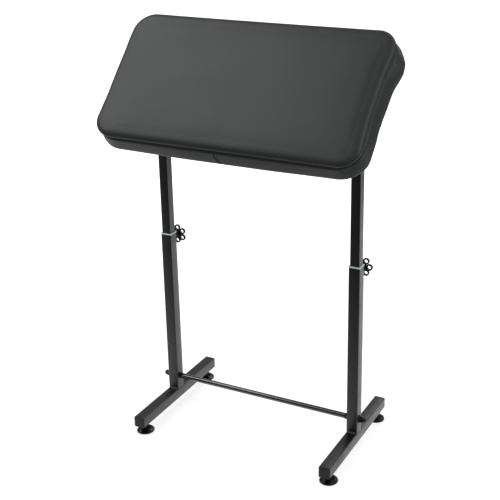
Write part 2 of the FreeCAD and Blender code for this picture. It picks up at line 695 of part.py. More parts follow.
def parts():
    """Every node of the stand, by name."""
    nodes = {
        "cross_rod": cross_rod(),
        "bar_end_plugs": group([bar_end_plug(side, end) for _, side in SIDES for _, end in ENDS]),
        "post_welds": group([post_weld(side, end) for _, side in SIDES for _, end in ENDS]),
        "height_clamp_nuts": group([clamp_nut(side) for _, side in SIDES]),
        "rod_washers": group([rod_washer(side) for _, side in SIDES]),
        "rod_inner_nuts": group([rod_inner_nut(side) for _, side in SIDES]),
        "rod_dome_nuts": group([rod_dome_nut(side) for _, side in SIDES]),
        "foot_weld_nuts": group([foot_nut(side, end) for _, side in SIDES for _, end in ENDS]),
        "post_top_inserts": group([post_top_insert(side) for _, side in SIDES]),
        "post_end_glides": group([post_end_glide(side) for _, side in SIDES]),
        "tilt_friction_washers": group([
            friction_washer(side, face) for _, side in SIDES for face in (-1, 1)]),
        "tilt_weld_nuts": group([tilt_nut(side) for _, side in SIDES]),
        "bracket_screws": group([
            bracket_screw(*place) for _, side in SIDES for place in bracket_screw_places(side)]),
        "pad_board": pad_board(),
        "pad_foam": pad_foam(),
        "pad_dust_cover": pad_dust_cover(),
        "pad_cover": pad_cover(),
    }
    for name, side in SIDES:
        nodes[name + "_foot_bar"] = foot_bar(side)
        nodes[name + "_outer_post"] = outer_post(side)
        nodes[name + "_post_bushing"] = post_bushing(side)
        nodes[name + "_height_screw"] = height_screw(side)
        nodes[name + "_height_knob"] = height_knob(side, KNOB_TURN_DEG[name])
        nodes[name + "_inner_post"] = inner_post(side)
        nodes[name + "_pad_bracket"] = pad_bracket(side)
        nodes[name + "_tilt_screw"] = tilt_screw(side)
        nodes[name + "_tilt_knob"] = tilt_knob(side)
        for place, end in ENDS:
            nodes[name + "_" + place + "_foot_stud"] = foot_stud(side, end)
            nodes[name + "_" + place + "_foot_glide"] = foot_glide(side, end)
    return nodes


os.makedirs("parts", exist_ok=True)
for node, shape in parts().items():
    shape.translated(Y_AXIS * post_line_y()).exportStep("parts/" + node + ".step")
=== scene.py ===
"""Looks of a free-standing arm rest: a black upholstered pad on two telescopic square posts.

Meshes are worked out in millimetres and stored in metres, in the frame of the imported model:
+Z up, the floor at zero, X along the pad, and -Y the side that the arm is laid on from.
"""
import json
import logging
import math
from collections.abc import Callable, Sequence
from dataclasses import dataclass, field
from enum import Enum

import bmesh
import bpy
from mathutils import Matrix, Vector, noise
from mathutils.bvhtree import BVHTree


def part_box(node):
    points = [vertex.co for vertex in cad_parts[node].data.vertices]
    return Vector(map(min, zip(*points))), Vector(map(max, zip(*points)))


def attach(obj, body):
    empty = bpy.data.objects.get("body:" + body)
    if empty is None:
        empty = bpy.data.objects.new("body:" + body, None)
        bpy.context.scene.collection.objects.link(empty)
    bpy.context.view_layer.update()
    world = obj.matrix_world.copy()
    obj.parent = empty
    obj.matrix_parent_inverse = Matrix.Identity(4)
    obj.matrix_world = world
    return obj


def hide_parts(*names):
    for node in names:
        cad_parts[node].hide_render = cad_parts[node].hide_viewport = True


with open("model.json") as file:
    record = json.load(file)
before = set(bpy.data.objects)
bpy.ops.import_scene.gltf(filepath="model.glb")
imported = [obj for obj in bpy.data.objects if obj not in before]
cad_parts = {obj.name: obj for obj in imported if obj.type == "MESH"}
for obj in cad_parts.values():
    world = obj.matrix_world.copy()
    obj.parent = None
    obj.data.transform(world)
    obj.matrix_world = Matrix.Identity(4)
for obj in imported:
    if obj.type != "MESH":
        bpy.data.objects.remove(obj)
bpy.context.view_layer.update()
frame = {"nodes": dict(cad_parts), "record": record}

LOG = logging.getLogger("arm_rest")
MM = 0.001
FULL_TURN = 2 * math.pi
UP = Vector((0, 0, 1))
# Signs of X and Y in each quarter, counter-clockwise from the rear right
QUARTERS = ((1, 1), (-1, 1), (-1, -1), (1, -1))
STAY = Matrix.Identity(4)
# Where nearly all of a noise texture's values lie
NOISE_SPAN = (0.3, 0.7)
# The cone that turns down a nut's corners: its radius at the face over half the width across flats
CONE_SHARE = 0.97
CONE_ANGLE = math.radians(30)

Row = list[Vector]
Place = Sequence[float]
Tree = bpy.types.NodeTree
Socket = bpy.types.NodeSocket
Material = bpy.types.Material
Mesh = bpy.types.Mesh
Object = bpy.types.Object


class Half(Enum):
    """One of two mirrored places; the value is the sign of its coordinate."""

    @property
    def word(self) -> str:
        """The name as the model's nodes write it."""
        return self.name.lower()


class Side(Half):
    """Which half of the stand a piece belongs to, along X."""

    LEFT = -1
    RIGHT = 1


class End(Half):
    """Which end of a floor bar a piece belongs to, along Y."""

    FRONT = -1
    REAR = 1


class Closing(Enum):
    """What a skin over several rows has beyond its first and last row."""

    CAPS = "a cap on each"
    RING = "faces from the last row to the first"
    OPEN = "nothing"


def unit(value: float) -> float:
    """A value held between 0 and 1."""
    return min(1.0, max(0.0, value))


def eased(share: float) -> float:
    """A share of 0 to 1 that starts and ends softly."""
    return share * share * (3 - 2 * share)


def looked_up(table: Sequence[Sequence[float]], place: float, soft: bool = False) -> list[float]:
    """Reads a table between its rows.

    Args:
        table: rows that each start with a place, rising from row to row.
        place: where to read it.
        soft: eases the values in and out at each row.

    Returns:
        The other columns' values there, held at the table's ends.
    """
    for low, high in zip(table, table[1:]):
        if place <= high[0]:
            share = unit((place - low[0]) / (high[0] - low[0]))
            share = eased(share) if soft else share
            return [first + (last - first) * share for first, last in zip(low[1:], high[1:])]
    return list(table[-1][1:])


# Materials


def linear(code: str) -> tuple[float, float, float, float]:
    """Turns an sRGB hex colour into linear values.

    Args:
        code: six hex digits after a hash.

    Returns:
        Linear red, green and blue, and an alpha of 1.
    """
    shares = [int(code[i:i + 2], 16) / 255 for i in (1, 3, 5)]
    values = [s / 12.92 if s <= 0.04045 else ((s + 0.055) / 1.055) ** 2.4 for s in shares]
    return values[0], values[1], values[2], 1.0


def per_mm(size_mm: float) -> float:
    """The texture scale at which one cell has a real size."""
    return 1 / (size_mm * MM)


def add_node(tree: Tree, kind: str, inputs: dict | None = None, **settings: object) -> bpy.types.Node:
    """Adds one node with its settings, values and links.

    Args:
        tree: the node tree that gets it.
        kind: the shader node's type.
        inputs: socket name or number to a value, or to the output socket that feeds it.
        **settings: properties of the node itself.

    Returns:
        The new node.
    """
    node = tree.nodes.new("ShaderNode" + kind)
    for key, value in settings.items():
        setattr(node, key, value)
    for key, value in (inputs or {}).items():
        if isinstance(value, Socket):
            tree.links.new(value, node.inputs[key])
        else:
            node.inputs[key].default_value = value
    return node


def emptied(owner: Material | bpy.types.World) -> Tree:
    """The node tree of a material or world, with nothing in it.

    Args:
        owner: the material or world.

    Returns:
        The tree.
    """
    owner.use_nodes = True
    owner.node_tree.nodes.clear()
    return owner.node_tree


@dataclass(frozen=True)
class Finish:
    """What a surface is made of and how it was made."""

    name: str
    slot: str
    colour: str
    roughness: float
    ior: float = 1.5
    metallic: float = 0.0
    coat: float = 0.0
    coat_roughness: float = 0.08
    grain_mm: float = 1.0
    relief_mm: float = 0.02
    mottle: float = 0.12
    drift_mm: float = 40.0

    def material(self) -> Material:
        """The finish's material, made once.

        Returns:
            The material, with its pattern as relief and as a slight drift of colour and roughness.
        """
        found = bpy.data.materials.get(self.name)
        if found:
            return found
        made = bpy.data.materials.new(self.name)
        tree = emptied(made)
        colour = linear(self.colour)
        less, more = 1 - self.mottle, 1 + self.mottle
        shader = add_node(tree, "BsdfPrincipled", {
            "Base Color": colour, "Roughness": self.roughness, "IOR": self.ior, "Metallic": self.metallic,
            "Coat Weight": self.coat, "Coat Roughness": self.coat_roughness})
        add_node(tree, "OutputMaterial", {"Surface": shader.outputs[0]})
        height, drift = self.pattern(tree, add_node(tree, "TexCoord").outputs["Object"])
        bump = add_node(tree, "Bump", {
            "Strength": 1.0, "Distance": self.relief_mm * MM, "Height": height})
        tint = add_node(tree, "MixRGB", {
            "Fac": drift, "Color1": (*(Vector(colour[:3]) * less), 1),
            "Color2": (*(Vector(colour[:3]) * more), 1)})
        gloss = add_node(tree, "MapRange", {
            "Value": drift, "From Min": NOISE_SPAN[0], "From Max": NOISE_SPAN[1],
            "To Min": self.roughness * less, "To Max": self.roughness * more})
        for socket, node in (("Normal", bump), ("Base Color", tint), ("Roughness", gloss)):
            tree.links.new(node.outputs[0], shader.inputs[socket])
        return made

    def pattern(self, tree: Tree, place: Socket) -> list[Socket]:
        """Draws the surface's grain; the plain one is a fine random relief.

        Args:
            tree: the material's nodes.
            place: the coordinates, in metres.

        Returns:
            The pattern of the relief, and that of the drift in colour and roughness.
        """
        return [
            add_node(tree, "TexNoise", {
                "Vector": place, "Scale": per_mm(size), "Detail": detail}).outputs["Fac"]
            for size, detail in ((self.grain_mm, 3.0), (self.drift_mm, 4.0))]

    def dress(self, thing: Object) -> None:
        """Gives a piece this finish alone."""
        thing.data.materials.clear()
        thing.data.materials.append(self.material())


@dataclass(frozen=True)
class GrainedVinyl(Finish):
    """Leathercloth: embossed PVC on a knitted back, with a pebbled grain."""

    wave_mm: float = 70.0
    wave_share: float = 9.0

    def pattern(self, tree: Tree, place: Socket) -> list[Socket]:
        """Pebbles parted by fine valleys, over the slow waviness of stretched cloth.

        Args:
            tree: the material's nodes.
            place: the coordinates, in metres.

        Returns:
            The pattern of the relief, and that of the drift in colour and roughness.
        """
        shift = add_node(tree, "TexNoise", {"Vector": place, "Scale": per_mm(self.grain_mm * 3)})
        bent = add_node(tree, "VectorMath", {
            0: shift.outputs["Color"], 1: (self.grain_mm * MM,) * 3, 2: place}, operation="MULTIPLY_ADD")
        pebbles = add_node(tree, "TexVoronoi", {
            "Vector": bent.outputs[0], "Scale": per_mm(self.grain_mm)}, feature="SMOOTH_F1")
        waves, drift = (
            add_node(tree, "TexNoise", {
                "Vector": place, "Scale": per_mm(size), "Detail": detail}).outputs["Fac"]
            for size, detail in ((self.wave_mm, 2.0), (self.drift_mm, 3.0)))
        height = add_node(tree, "Math", {
            0: waves, 1: self.wave_share, 2: pebbles.outputs["Distance"]}, operation="MULTIPLY_ADD")
        return [height.outputs[0], drift]


@dataclass(frozen=True)
class BondedCloth(Finish):
    """Spun-bonded polypropylene: a felted sheet pressed with rows of small diamonds."""

    pitch_mm: float = 3.0

    def pattern(self, tree: Tree, place: Socket) -> list[Socket]:
        """Two crossing sets of waves for the pressed rows, with fibres between them.

        Args:
            tree: the material's nodes.
            place: the coordinates, in metres.

        Returns:
            The pattern of the relief, and that of the drift in colour and roughness.
        """
        waves = []
        for turn in (45.0, -45.0):
            turned_place = add_node(tree, "Mapping", {
                "Vector": place, "Rotation": (0.0, 0.0, math.radians(turn))})
            waves.append(add_node(tree, "TexWave", {
                "Vector": turned_place.outputs[0], "Scale": per_mm(self.pitch_mm * FULL_TURN)}))
        net = add_node(tree, "Math", {
            0: waves[0].outputs["Fac"], 1: waves[1].outputs["Fac"]}, operation="MULTIPLY")
        fibres = add_node(tree, "TexNoise", {
            "Vector": place, "Scale": per_mm(self.grain_mm), "Detail": 4.0}).outputs["Fac"]
        height = add_node(tree, "Math", {0: net.outputs[0], 1: fibres}, operation="ADD")
        return [height.outputs[0], fibres]


@dataclass(frozen=True)
class BrushedPlate(Finish):
    """Drawn or turned metal with a thin bright plating, streaked along one axis."""

    streak_mm: tuple[float, float, float] = (0.4, 0.4, 8.0)

    def pattern(self, tree: Tree, place: Socket) -> list[Socket]:
        """Noise stretched along the streaks.

        Args:
            tree: the material's nodes.
            place: the coordinates, in metres.

        Returns:
            The streaks, for the relief and for the drift in colour and roughness.
        """
        stretched = add_node(tree, "Mapping", {
            "Vector": place, "Scale": tuple(per_mm(size) for size in self.streak_mm)})
        streaks = add_node(tree, "TexNoise", {
            "Vector": stretched.outputs[0], "Scale": 1.0, "Detail": 3.0})
        return [streaks.outputs["Fac"]] * 2


@dataclass(frozen=True)
class Plywood(Finish):
    """Peeled birch veneer: pale wood with long, slightly darker grain along the board."""

    ring_mm: float = 7.0
    drawn_out: float = 0.08

    def pattern(self, tree: Tree, place: Socket) -> list[Socket]:
        """Rings drawn out along X.

        Args:
            tree: the material's nodes.
            place: the coordinates, in metres.

        Returns:
            The rings, for the relief and for the drift in colour and roughness.
        """
        stretched = add_node(tree, "Mapping", {"Vector": place, "Scale": (self.drawn_out, 1.0, 1.0)})
        rings = add_node(tree, "TexWave", {
            "Vector": stretched.outputs[0], "Scale": per_mm(self.ring_mm * FULL_TURN), "Distortion": 6.0,
            "Detail": 3.0})
        return [rings.outputs["Fac"]] * 2


# Polyester powder baked on steel tube: satin black with a fine, even sand texture that breaks each
# reflection up softly.  The texture's grains are about 0.7 mm; they are drawn at 3 mm, and deeper, to show.
POWDER = Finish("black polyester powder coat", "powder_coat", "#141415", 0.36, coat=0.6, coat_roughness=0.3,
                grain_mm=3.0, relief_mm=0.32, mottle=0.3)
# Black-passivated zinc on small steel parts: darker and glossier than the powder, with a hard glint.
BLACK_ZINC = Finish("black passivated zinc plate", "black_hardware", "#0E0E0F", 0.34, grain_mm=0.8,
                    relief_mm=0.0015)
# Black chromium on a ground steel bar: a dark mirror that draws the lamps out into one thin streak.
BLACK_CHROME = Finish("black chromium plated bar", "black_hardware", "#6E6E71", 0.16, metallic=1.0,
                      grain_mm=0.8, relief_mm=0.001)
# Bright zinc on rolled threads: grey metal with streaks along the bar.
BRIGHT_ZINC = BrushedPlate("bright zinc plated steel", "steel_screw", "#B9BCC0", 0.32, metallic=1.0,
                           relief_mm=0.01)
# Glass-filled nylon from a polished mould: deep black with a clear, soft-edged highlight.
KNOB_NYLON = Finish("black moulded nylon", "knob_plastic", "#0F0F10", 0.26, ior=1.53, grain_mm=0.6,
                    relief_mm=0.005)
# Polypropylene feet from a polished mould: gloss black.
FOOT_PLASTIC = Finish("black moulded polypropylene", "glide_plastic", "#101011", 0.22, ior=1.49,
                      grain_mm=1.2, relief_mm=0.006)
# Low-density polyethylene plugs: softer sheen than the feet.
PLUG_PLASTIC = Finish("black moulded polyethylene", "plug_plastic", "#161617", 0.42, ior=1.51,
                      grain_mm=0.7, relief_mm=0.012)
# Pigmented nylon bushing: pale mint green, slightly waxy.
MINT_NYLON = Finish("mint green moulded nylon", "green_bushing", "#D0F2E0", 0.35, ior=1.53, grain_mm=0.7,
                    relief_mm=0.008, mottle=0.04)
# Natural nylon, stamped from sheet: milky white and nearly matt.
NATURAL_NYLON = Finish("natural nylon washer", "washer_nylon", "#D9D6CB", 0.5, ior=1.53, grain_mm=0.7,
                       relief_mm=0.008, mottle=0.04)
# Embossed PVC leathercloth: dark grey-black with a broad, soft sheen.  Its pebbles are about 1 mm
# across and are drawn at 1.8 mm so that they show.
VINYL = GrainedVinyl("embossed black leathercloth", "cover", "#2B2D2D", 0.46, grain_mm=1.8,
                     relief_mm=0.05, mottle=0.05, drift_mm=120.0)
# Bonded polyester thread: twisted fibres, matt beside the leathercloth.
STITCH = Finish("black bonded polyester thread", "cover", "#1A1A1B", 0.55, grain_mm=0.4, relief_mm=0.03)
# Spun-bonded polypropylene: dull black felt with a faint pressed net.
DUST_CLOTH = BondedCloth("black spun bonded polypropylene", "dust_cloth", "#161617", 0.9, grain_mm=0.8,
                         relief_mm=0.08)
# Galvanised wire, flattened into staples: small grey glints on the black cloth.
STAPLE = BrushedPlate("galvanised staple wire", "steel_screw", "#A9ACB0", 0.35, metallic=1.0,
                      relief_mm=0.005)
# Rotary-cut birch: pale honey wood with a dry surface.
BIRCH = Plywood("birch plywood", "board", "#C9A878", 0.6, relief_mm=0.05)


# Mesh building


@dataclass
class Shell:
    """Points and faces that several rows or patches are gathered into."""

    points: list[Vector] = field(default_factory=list)
    faces: list[tuple[int, ...]] = field(default_factory=list)

    def skin(self, rows: Sequence[Row], closing: Closing = Closing.CAPS) -> "Shell":
        """Adds a surface that passes through closed rows of equal length.

        Args:
            rows: the rows in order; looking along them, each runs counter-clockwise.
            closing: what comes beyond the first and last row.

        Returns:
            This shell.
        """
        base, count = len(self.points), len(rows[0])
        for row in rows:
            self.points.extend(row)
        for r in range(len(rows) if closing is Closing.RING else len(rows) - 1):
            low, high = base + r * count, base + (r + 1) % len(rows) * count
            for i in range(count):
                j = (i + 1) % count
                self.faces.append((low + i, low + j, high + j, high + i))
        if closing is Closing.CAPS:
            self.fan(base, rows[0], True)
            self.fan(base + (len(rows) - 1) * count, rows[-1], False)
        return self

    def fan(self, first: int, row: Row, flip: bool) -> None:
        """Closes a row with triangles round its middle.

        Args:
            first: the number of the row's first point.
            row: its points.
            flip: turns the triangles over.
        """
        centre, count = len(self.points), len(row)
        self.points.append(sum(row, Vector()) / count)
        for i in range(count):
            pair = (first + i, first + (i + 1) % count)
            self.faces.append((*(pair[::-1] if flip else pair), centre))

    def add(self, other: "Shell", place: Matrix = STAY) -> "Shell":
        """Adds a moved copy of another shell.

        Args:
            other: the shell that is copied.
            place: the matrix that moves it.

        Returns:
            This shell.
        """
        base = len(self.points)
        self.points.extend(place @ point for point in other.points)
        self.faces.extend(tuple(base + i for i in face) for face in other.faces)
        return self

    def mesh(self, name: str, place: Matrix = STAY) -> Mesh:
        """A mesh in metres.

        Args:
            name: the mesh's name.
            place: a matrix in millimetres that moves it.

        Returns:
            The new mesh.
        """
        data = bpy.data.meshes.new(name)
        data.from_pydata([(place @ point) * MM for point in self.points], [], self.faces)
        data.validate()
        return data


@dataclass
class Course:
    """A closed row that is measured along."""

    row: Row

    def __post_init__(self) -> None:
        """Measures each run and the whole."""
        self.runs = [(here, ahead - here) for here, ahead in zip(self.row, self.row[1:] + self.row[:1])]
        self.length = sum(run.length for _, run in self.runs)

    def at(self, distance: float) -> tuple[Vector, Vector]:
        """The point and the direction at a distance from the row's start.

        Args:
            distance: how far along, also beyond the row's length.

        Returns:
            The point, and the run's unit vector there.
        """
        distance %= self.length
        for here, run in self.runs:
            if distance <= run.length:
                return here + run * (distance / run.length), run.normalized()
            distance -= run.length
        return self.row[0], self.runs[0][1].normalized()


def placed(name: str, data: bpy.types.ID) -> Object:
    """A new object in the scene.

    Args:
        name: its name.
        data: its mesh, curve, lamp or camera.

    Returns:
        The object.
    """
    thing = bpy.data.objects.new(name, data)
    bpy.context.scene.collection.objects.link(thing)
    return thing


def evaluated(thing: Object) -> Mesh:
    """The mesh that an object's curve or modifiers come to."""
    return bpy.data.meshes.new_from_object(thing.evaluated_get(bpy.context.evaluated_depsgraph_get()))


def body_of(node: str) -> str:
    """The body that a node belongs to.

    Args:
        node: the node's name.

    Returns:
        The body's name.
    """
    for body, members in frame["record"]["behaviour"]["bodies"].items():
        if node in members:
            return body
    raise ValueError(f"no body has {node}")


def piece(name: str, form: Shell | Mesh, finish: Finish, replaced: Sequence[str] = (),
          place: Matrix = STAY, crease_deg: float = 32.0, body: str = "",
          merge_mm: float = 0.0) -> Object:
    """Puts a form in the scene as one piece of the stand.

    Args:
        name: the piece's name.
        form: a shell in millimetres, or a mesh in metres in the model's frame.
        finish: what it is made of.
        replaced: the model's nodes that it stands for.
        place: where a shell goes, in millimetres.
        crease_deg: edges sharper than this stay sharp.
        body: the body that it moves with, where it replaces no node.
        merge_mm: points nearer to each other than this become one.

    Returns:
        The new object.
    """
    data = form.mesh(name, place) if isinstance(form, Shell) else form
    thing = placed(name, data)
    work = bmesh.new()
    work.from_mesh(data)
    if merge_mm:
        bmesh.ops.remove_doubles(work, verts=work.verts, dist=merge_mm * MM)
    bmesh.ops.recalc_face_normals(work, faces=work.faces)
    work.to_mesh(data)
    work.free()
    data.shade_smooth()
    data.set_sharp_from_angle(angle=math.radians(crease_deg))
    finish.dress(thing)
    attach(thing, body or body_of(replaced[0]))
    if replaced:
        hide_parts(*replaced)
    LOG.info("%s: %d faces", name, len(data.polygons))
    return thing


def quarter(steps: int) -> list[float]:
    """Angles from nothing to a quarter turn."""
    return [math.pi / 2 * step / steps for step in range(steps + 1)]


def polar(shape: Callable[[float], tuple[float, float]], segments: int = 48) -> Row:
    """A closed row about Z.

    Args:
        shape: gives radius and height for an angle.
        segments: how many points the row has.

    Returns:
        The row's points.
    """
    row = []
    for step in range(segments):
        turn = FULL_TURN * step / segments
        radius, height = shape(turn)
        row.append(Vector((radius * math.cos(turn), radius * math.sin(turn), height)))
    return row


def circle(radius: float, height: float, segments: int = 48) -> Row:
    """A level circle about Z."""
    return polar(lambda _: (radius, height), segments)


def turned(profile: Sequence[tuple[float, float]], segments: int = 48) -> Shell:
    """A turned shape from (radius, height) pairs, closed at both ends."""
    return Shell().skin([circle(radius, height, segments) for radius, height in profile])


def softened(profile: Sequence[tuple[float, ...]], steps: int = 5) -> list[tuple[float, float]]:
    """Rounds the corners of a profile.

    Args:
        profile: (radius, height) pairs; a third value rounds the corner there by that radius.
        steps: how many pieces each rounding has.

    Returns:
        The profile with its roundings as points.
    """
    done: list[tuple[float, float]] = []
    for index, point in enumerate(profile):
        here = Vector(point[:2])
        if len(point) < 3:
            done.append((here.x, here.y))
            continue
        to_last = (Vector(profile[index - 1][:2]) - here).normalized()
        to_next = (Vector(profile[index + 1][:2]) - here).normalized()
        half = to_last.angle(to_next) / 2
        centre = here + (to_last + to_next).normalized() * (point[2] / math.sin(half))
        first, last = (here + way * (point[2] / math.tan(half)) - centre for way in (to_last, to_next))
        for step in range(steps + 1):
            spoke = first.slerp(last, step / steps)
            done.append((centre.x + spoke.x, centre.y + spoke.y))
    return done


def rounded_row(half_x: float, half_y: float, corner: float, height: float, steps: int = 5) -> Row:
    """A level rounded rectangle, centred on Z.

    Args:
        half_x: half its size along X.
        half_y: half its size along Y.
        corner: its corners' radius.
        height: its height.
        steps: how many pieces each corner has.

    Returns:
        The row's points, counter-clockwise from the right side's rear end.
    """
    row = []
    for number, (sx, sy) in enumerate(QUARTERS):
        for step in range(steps + 1):
            turn = math.pi / 2 * (number + step / steps)
            row.append(Vector((
                sx * (half_x - corner) + corner * math.cos(turn),
                sy * (half_y - corner) + corner * math.sin(turn), height)))
    return row


def square_row(width: float, corner: float, height: float) -> Row:
    """A level rounded square, centred on Z."""
    return rounded_row(width / 2, width / 2, corner, height)


def rolled_edge(width: float, corner: float, top: float, edge: float) -> list[Row]:
    """Square rows that turn from a moulding's sides into its top face.

    Args:
        width: the moulding's width.
        corner: its corners' radius.
        top: its top's height.
        edge: the radius of the edge round the top.

    Returns:
        The rows, rising.
    """
    rows = []
    for turn in quarter(4):
        inset = edge * (1 - math.cos(turn))
        rows.append(square_row(
            width - 2 * inset, corner - inset / 2, top - edge + edge * math.sin(turn)))
    return rows


def hexagon(flats: float, low: float, high: float, bevel_low: bool = True) -> list[Row]:
    """Rows of a hexagon whose corners are turned down by a 30 degree cone.

    Args:
        flats: width across flats.
        low: height of the lower face.
        high: height of the upper face.
        bevel_low: turns down the lower corners too.

    Returns:
        The rows from the lower face to the upper.
    """
    cone = flats / 2 * CONE_SHARE
    slope = math.tan(CONE_ANGLE)

    def edge(turn: float, height: float, way: int) -> tuple[float, float]:
        """A point of the hexagon's edge under the cone.

        Args:
            turn: its angle.
            height: the face's height.
            way: 1 where the cone rises outwards, -1 where it falls, 0 for no cone.

        Returns:
            Its radius and height.
        """
        radius = flats / 2 / math.cos((turn + math.pi / 6) % (math.pi / 3) - math.pi / 6)
        return radius, height + way * (radius - cone) * slope

    rows = [
        polar(lambda turn: edge(turn, low, int(bevel_low))), polar(lambda turn: edge(turn, high, -1)),
        circle(cone, high)]
    return [circle(cone, low), *rows] if bevel_low else rows


def along(axis: Place, origin: Place) -> Matrix:
    """A matrix that takes +Z to an axis and the origin to a point in millimetres."""
    return Matrix.Translation(origin) @ Vector(axis).to_track_quat("Z", "Y").to_matrix().to_4x4()


def box_mm(node: str) -> tuple[Vector, Vector]:
    """A node's lowest and highest corners in millimetres."""
    low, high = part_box(node)
    return Vector(low) / MM, Vector(high) / MM


def middle(node: str) -> Vector:
    """The middle of a node's box, in millimetres."""
    low, high = box_mm(node)
    return (low + high) / 2


@dataclass
class Thread:
    """A rolled M8 thread."""

    diameter: float = 8.0
    pitch: float = 1.25
    depth_share: float = 0.61
    crest_share: float = 0.12
    flank_share: float = 0.7
    rows_per_pitch: int = 8
    segments: int = 24

    def shell(self, length: float) -> Shell:
        """The thread from the origin up, softened at both ends.

        Args:
            length: how far up it goes.

        Returns:
            Its shell.
        """
        depth = self.pitch * self.depth_share
        crest = self.diameter / 2

        def radius(turn: float, height: float) -> float:
            """How far out the thread stands.

            Args:
                turn: the angle.
                height: the height.

            Returns:
                The radius there.
            """
            phase = (height / self.pitch - turn / FULL_TURN) % 1
            groove = unit((abs(phase - 0.5) * 2 - self.crest_share) / self.flank_share)
            lead = min(height, length - height, self.pitch) / self.pitch
            return min(crest - depth * (1 - groove), crest - depth * (1 - lead))

        count = max(2, round(length / self.pitch * self.rows_per_pitch))
        heights = [length * step / count for step in range(count + 1)]
        return Shell().skin([polar(lambda t, h=h: (radius(t, h), h), self.segments) for h in heights])


def threaded(node: str, axis: Place) -> None:
    """Replaces a plain stem by a threaded one.

    Args:
        node: the stem's node.
        axis: the main direction that it points in.
    """
    low, high = box_mm(node)
    length = abs((high - low).dot(Vector(axis)))
    start = middle(node) - Vector(axis) * (length / 2)
    piece(node + "_thread", Thread().shell(length), BRIGHT_ZINC, [node], along(axis, start), 50.0)


@dataclass
class SquareTube:
    """Square steel tube with rolled corners and deburred ends."""

    width: float
    corner: float
    wall: float = 1.2
    deburr: float = 0.25
    least_corner: float = 0.4

    def build(self, node: str, axis: Place) -> None:
        """Replaces one tube.

        Args:
            node: the tube's node.
            axis: the direction that it runs in.
        """
        low, high = box_mm(node)
        length = (high - low).dot(Vector(axis))
        bore = self.width - 2 * self.wall
        inner = max(self.least_corner, self.corner - self.wall)
        cut = self.deburr
        inside, inside_end = (bore, inner), (bore + 2 * cut, inner + cut)
        outside, outside_end = (self.width, self.corner), (self.width - 2 * cut, self.corner - cut)
        rows = [square_row(*size, height) for size, height in (
            (inside, cut), (inside_end, 0), (outside_end, 0), (outside, cut), (outside, length - cut),
            (outside_end, length), (inside_end, length), (inside, length - cut))]
        start = middle(node) - Vector(axis) * (length / 2)
        piece(node + "_tube", Shell().skin(rows, Closing.RING), POWDER, [node], along(axis, start))


# The stand's sub-assemblies


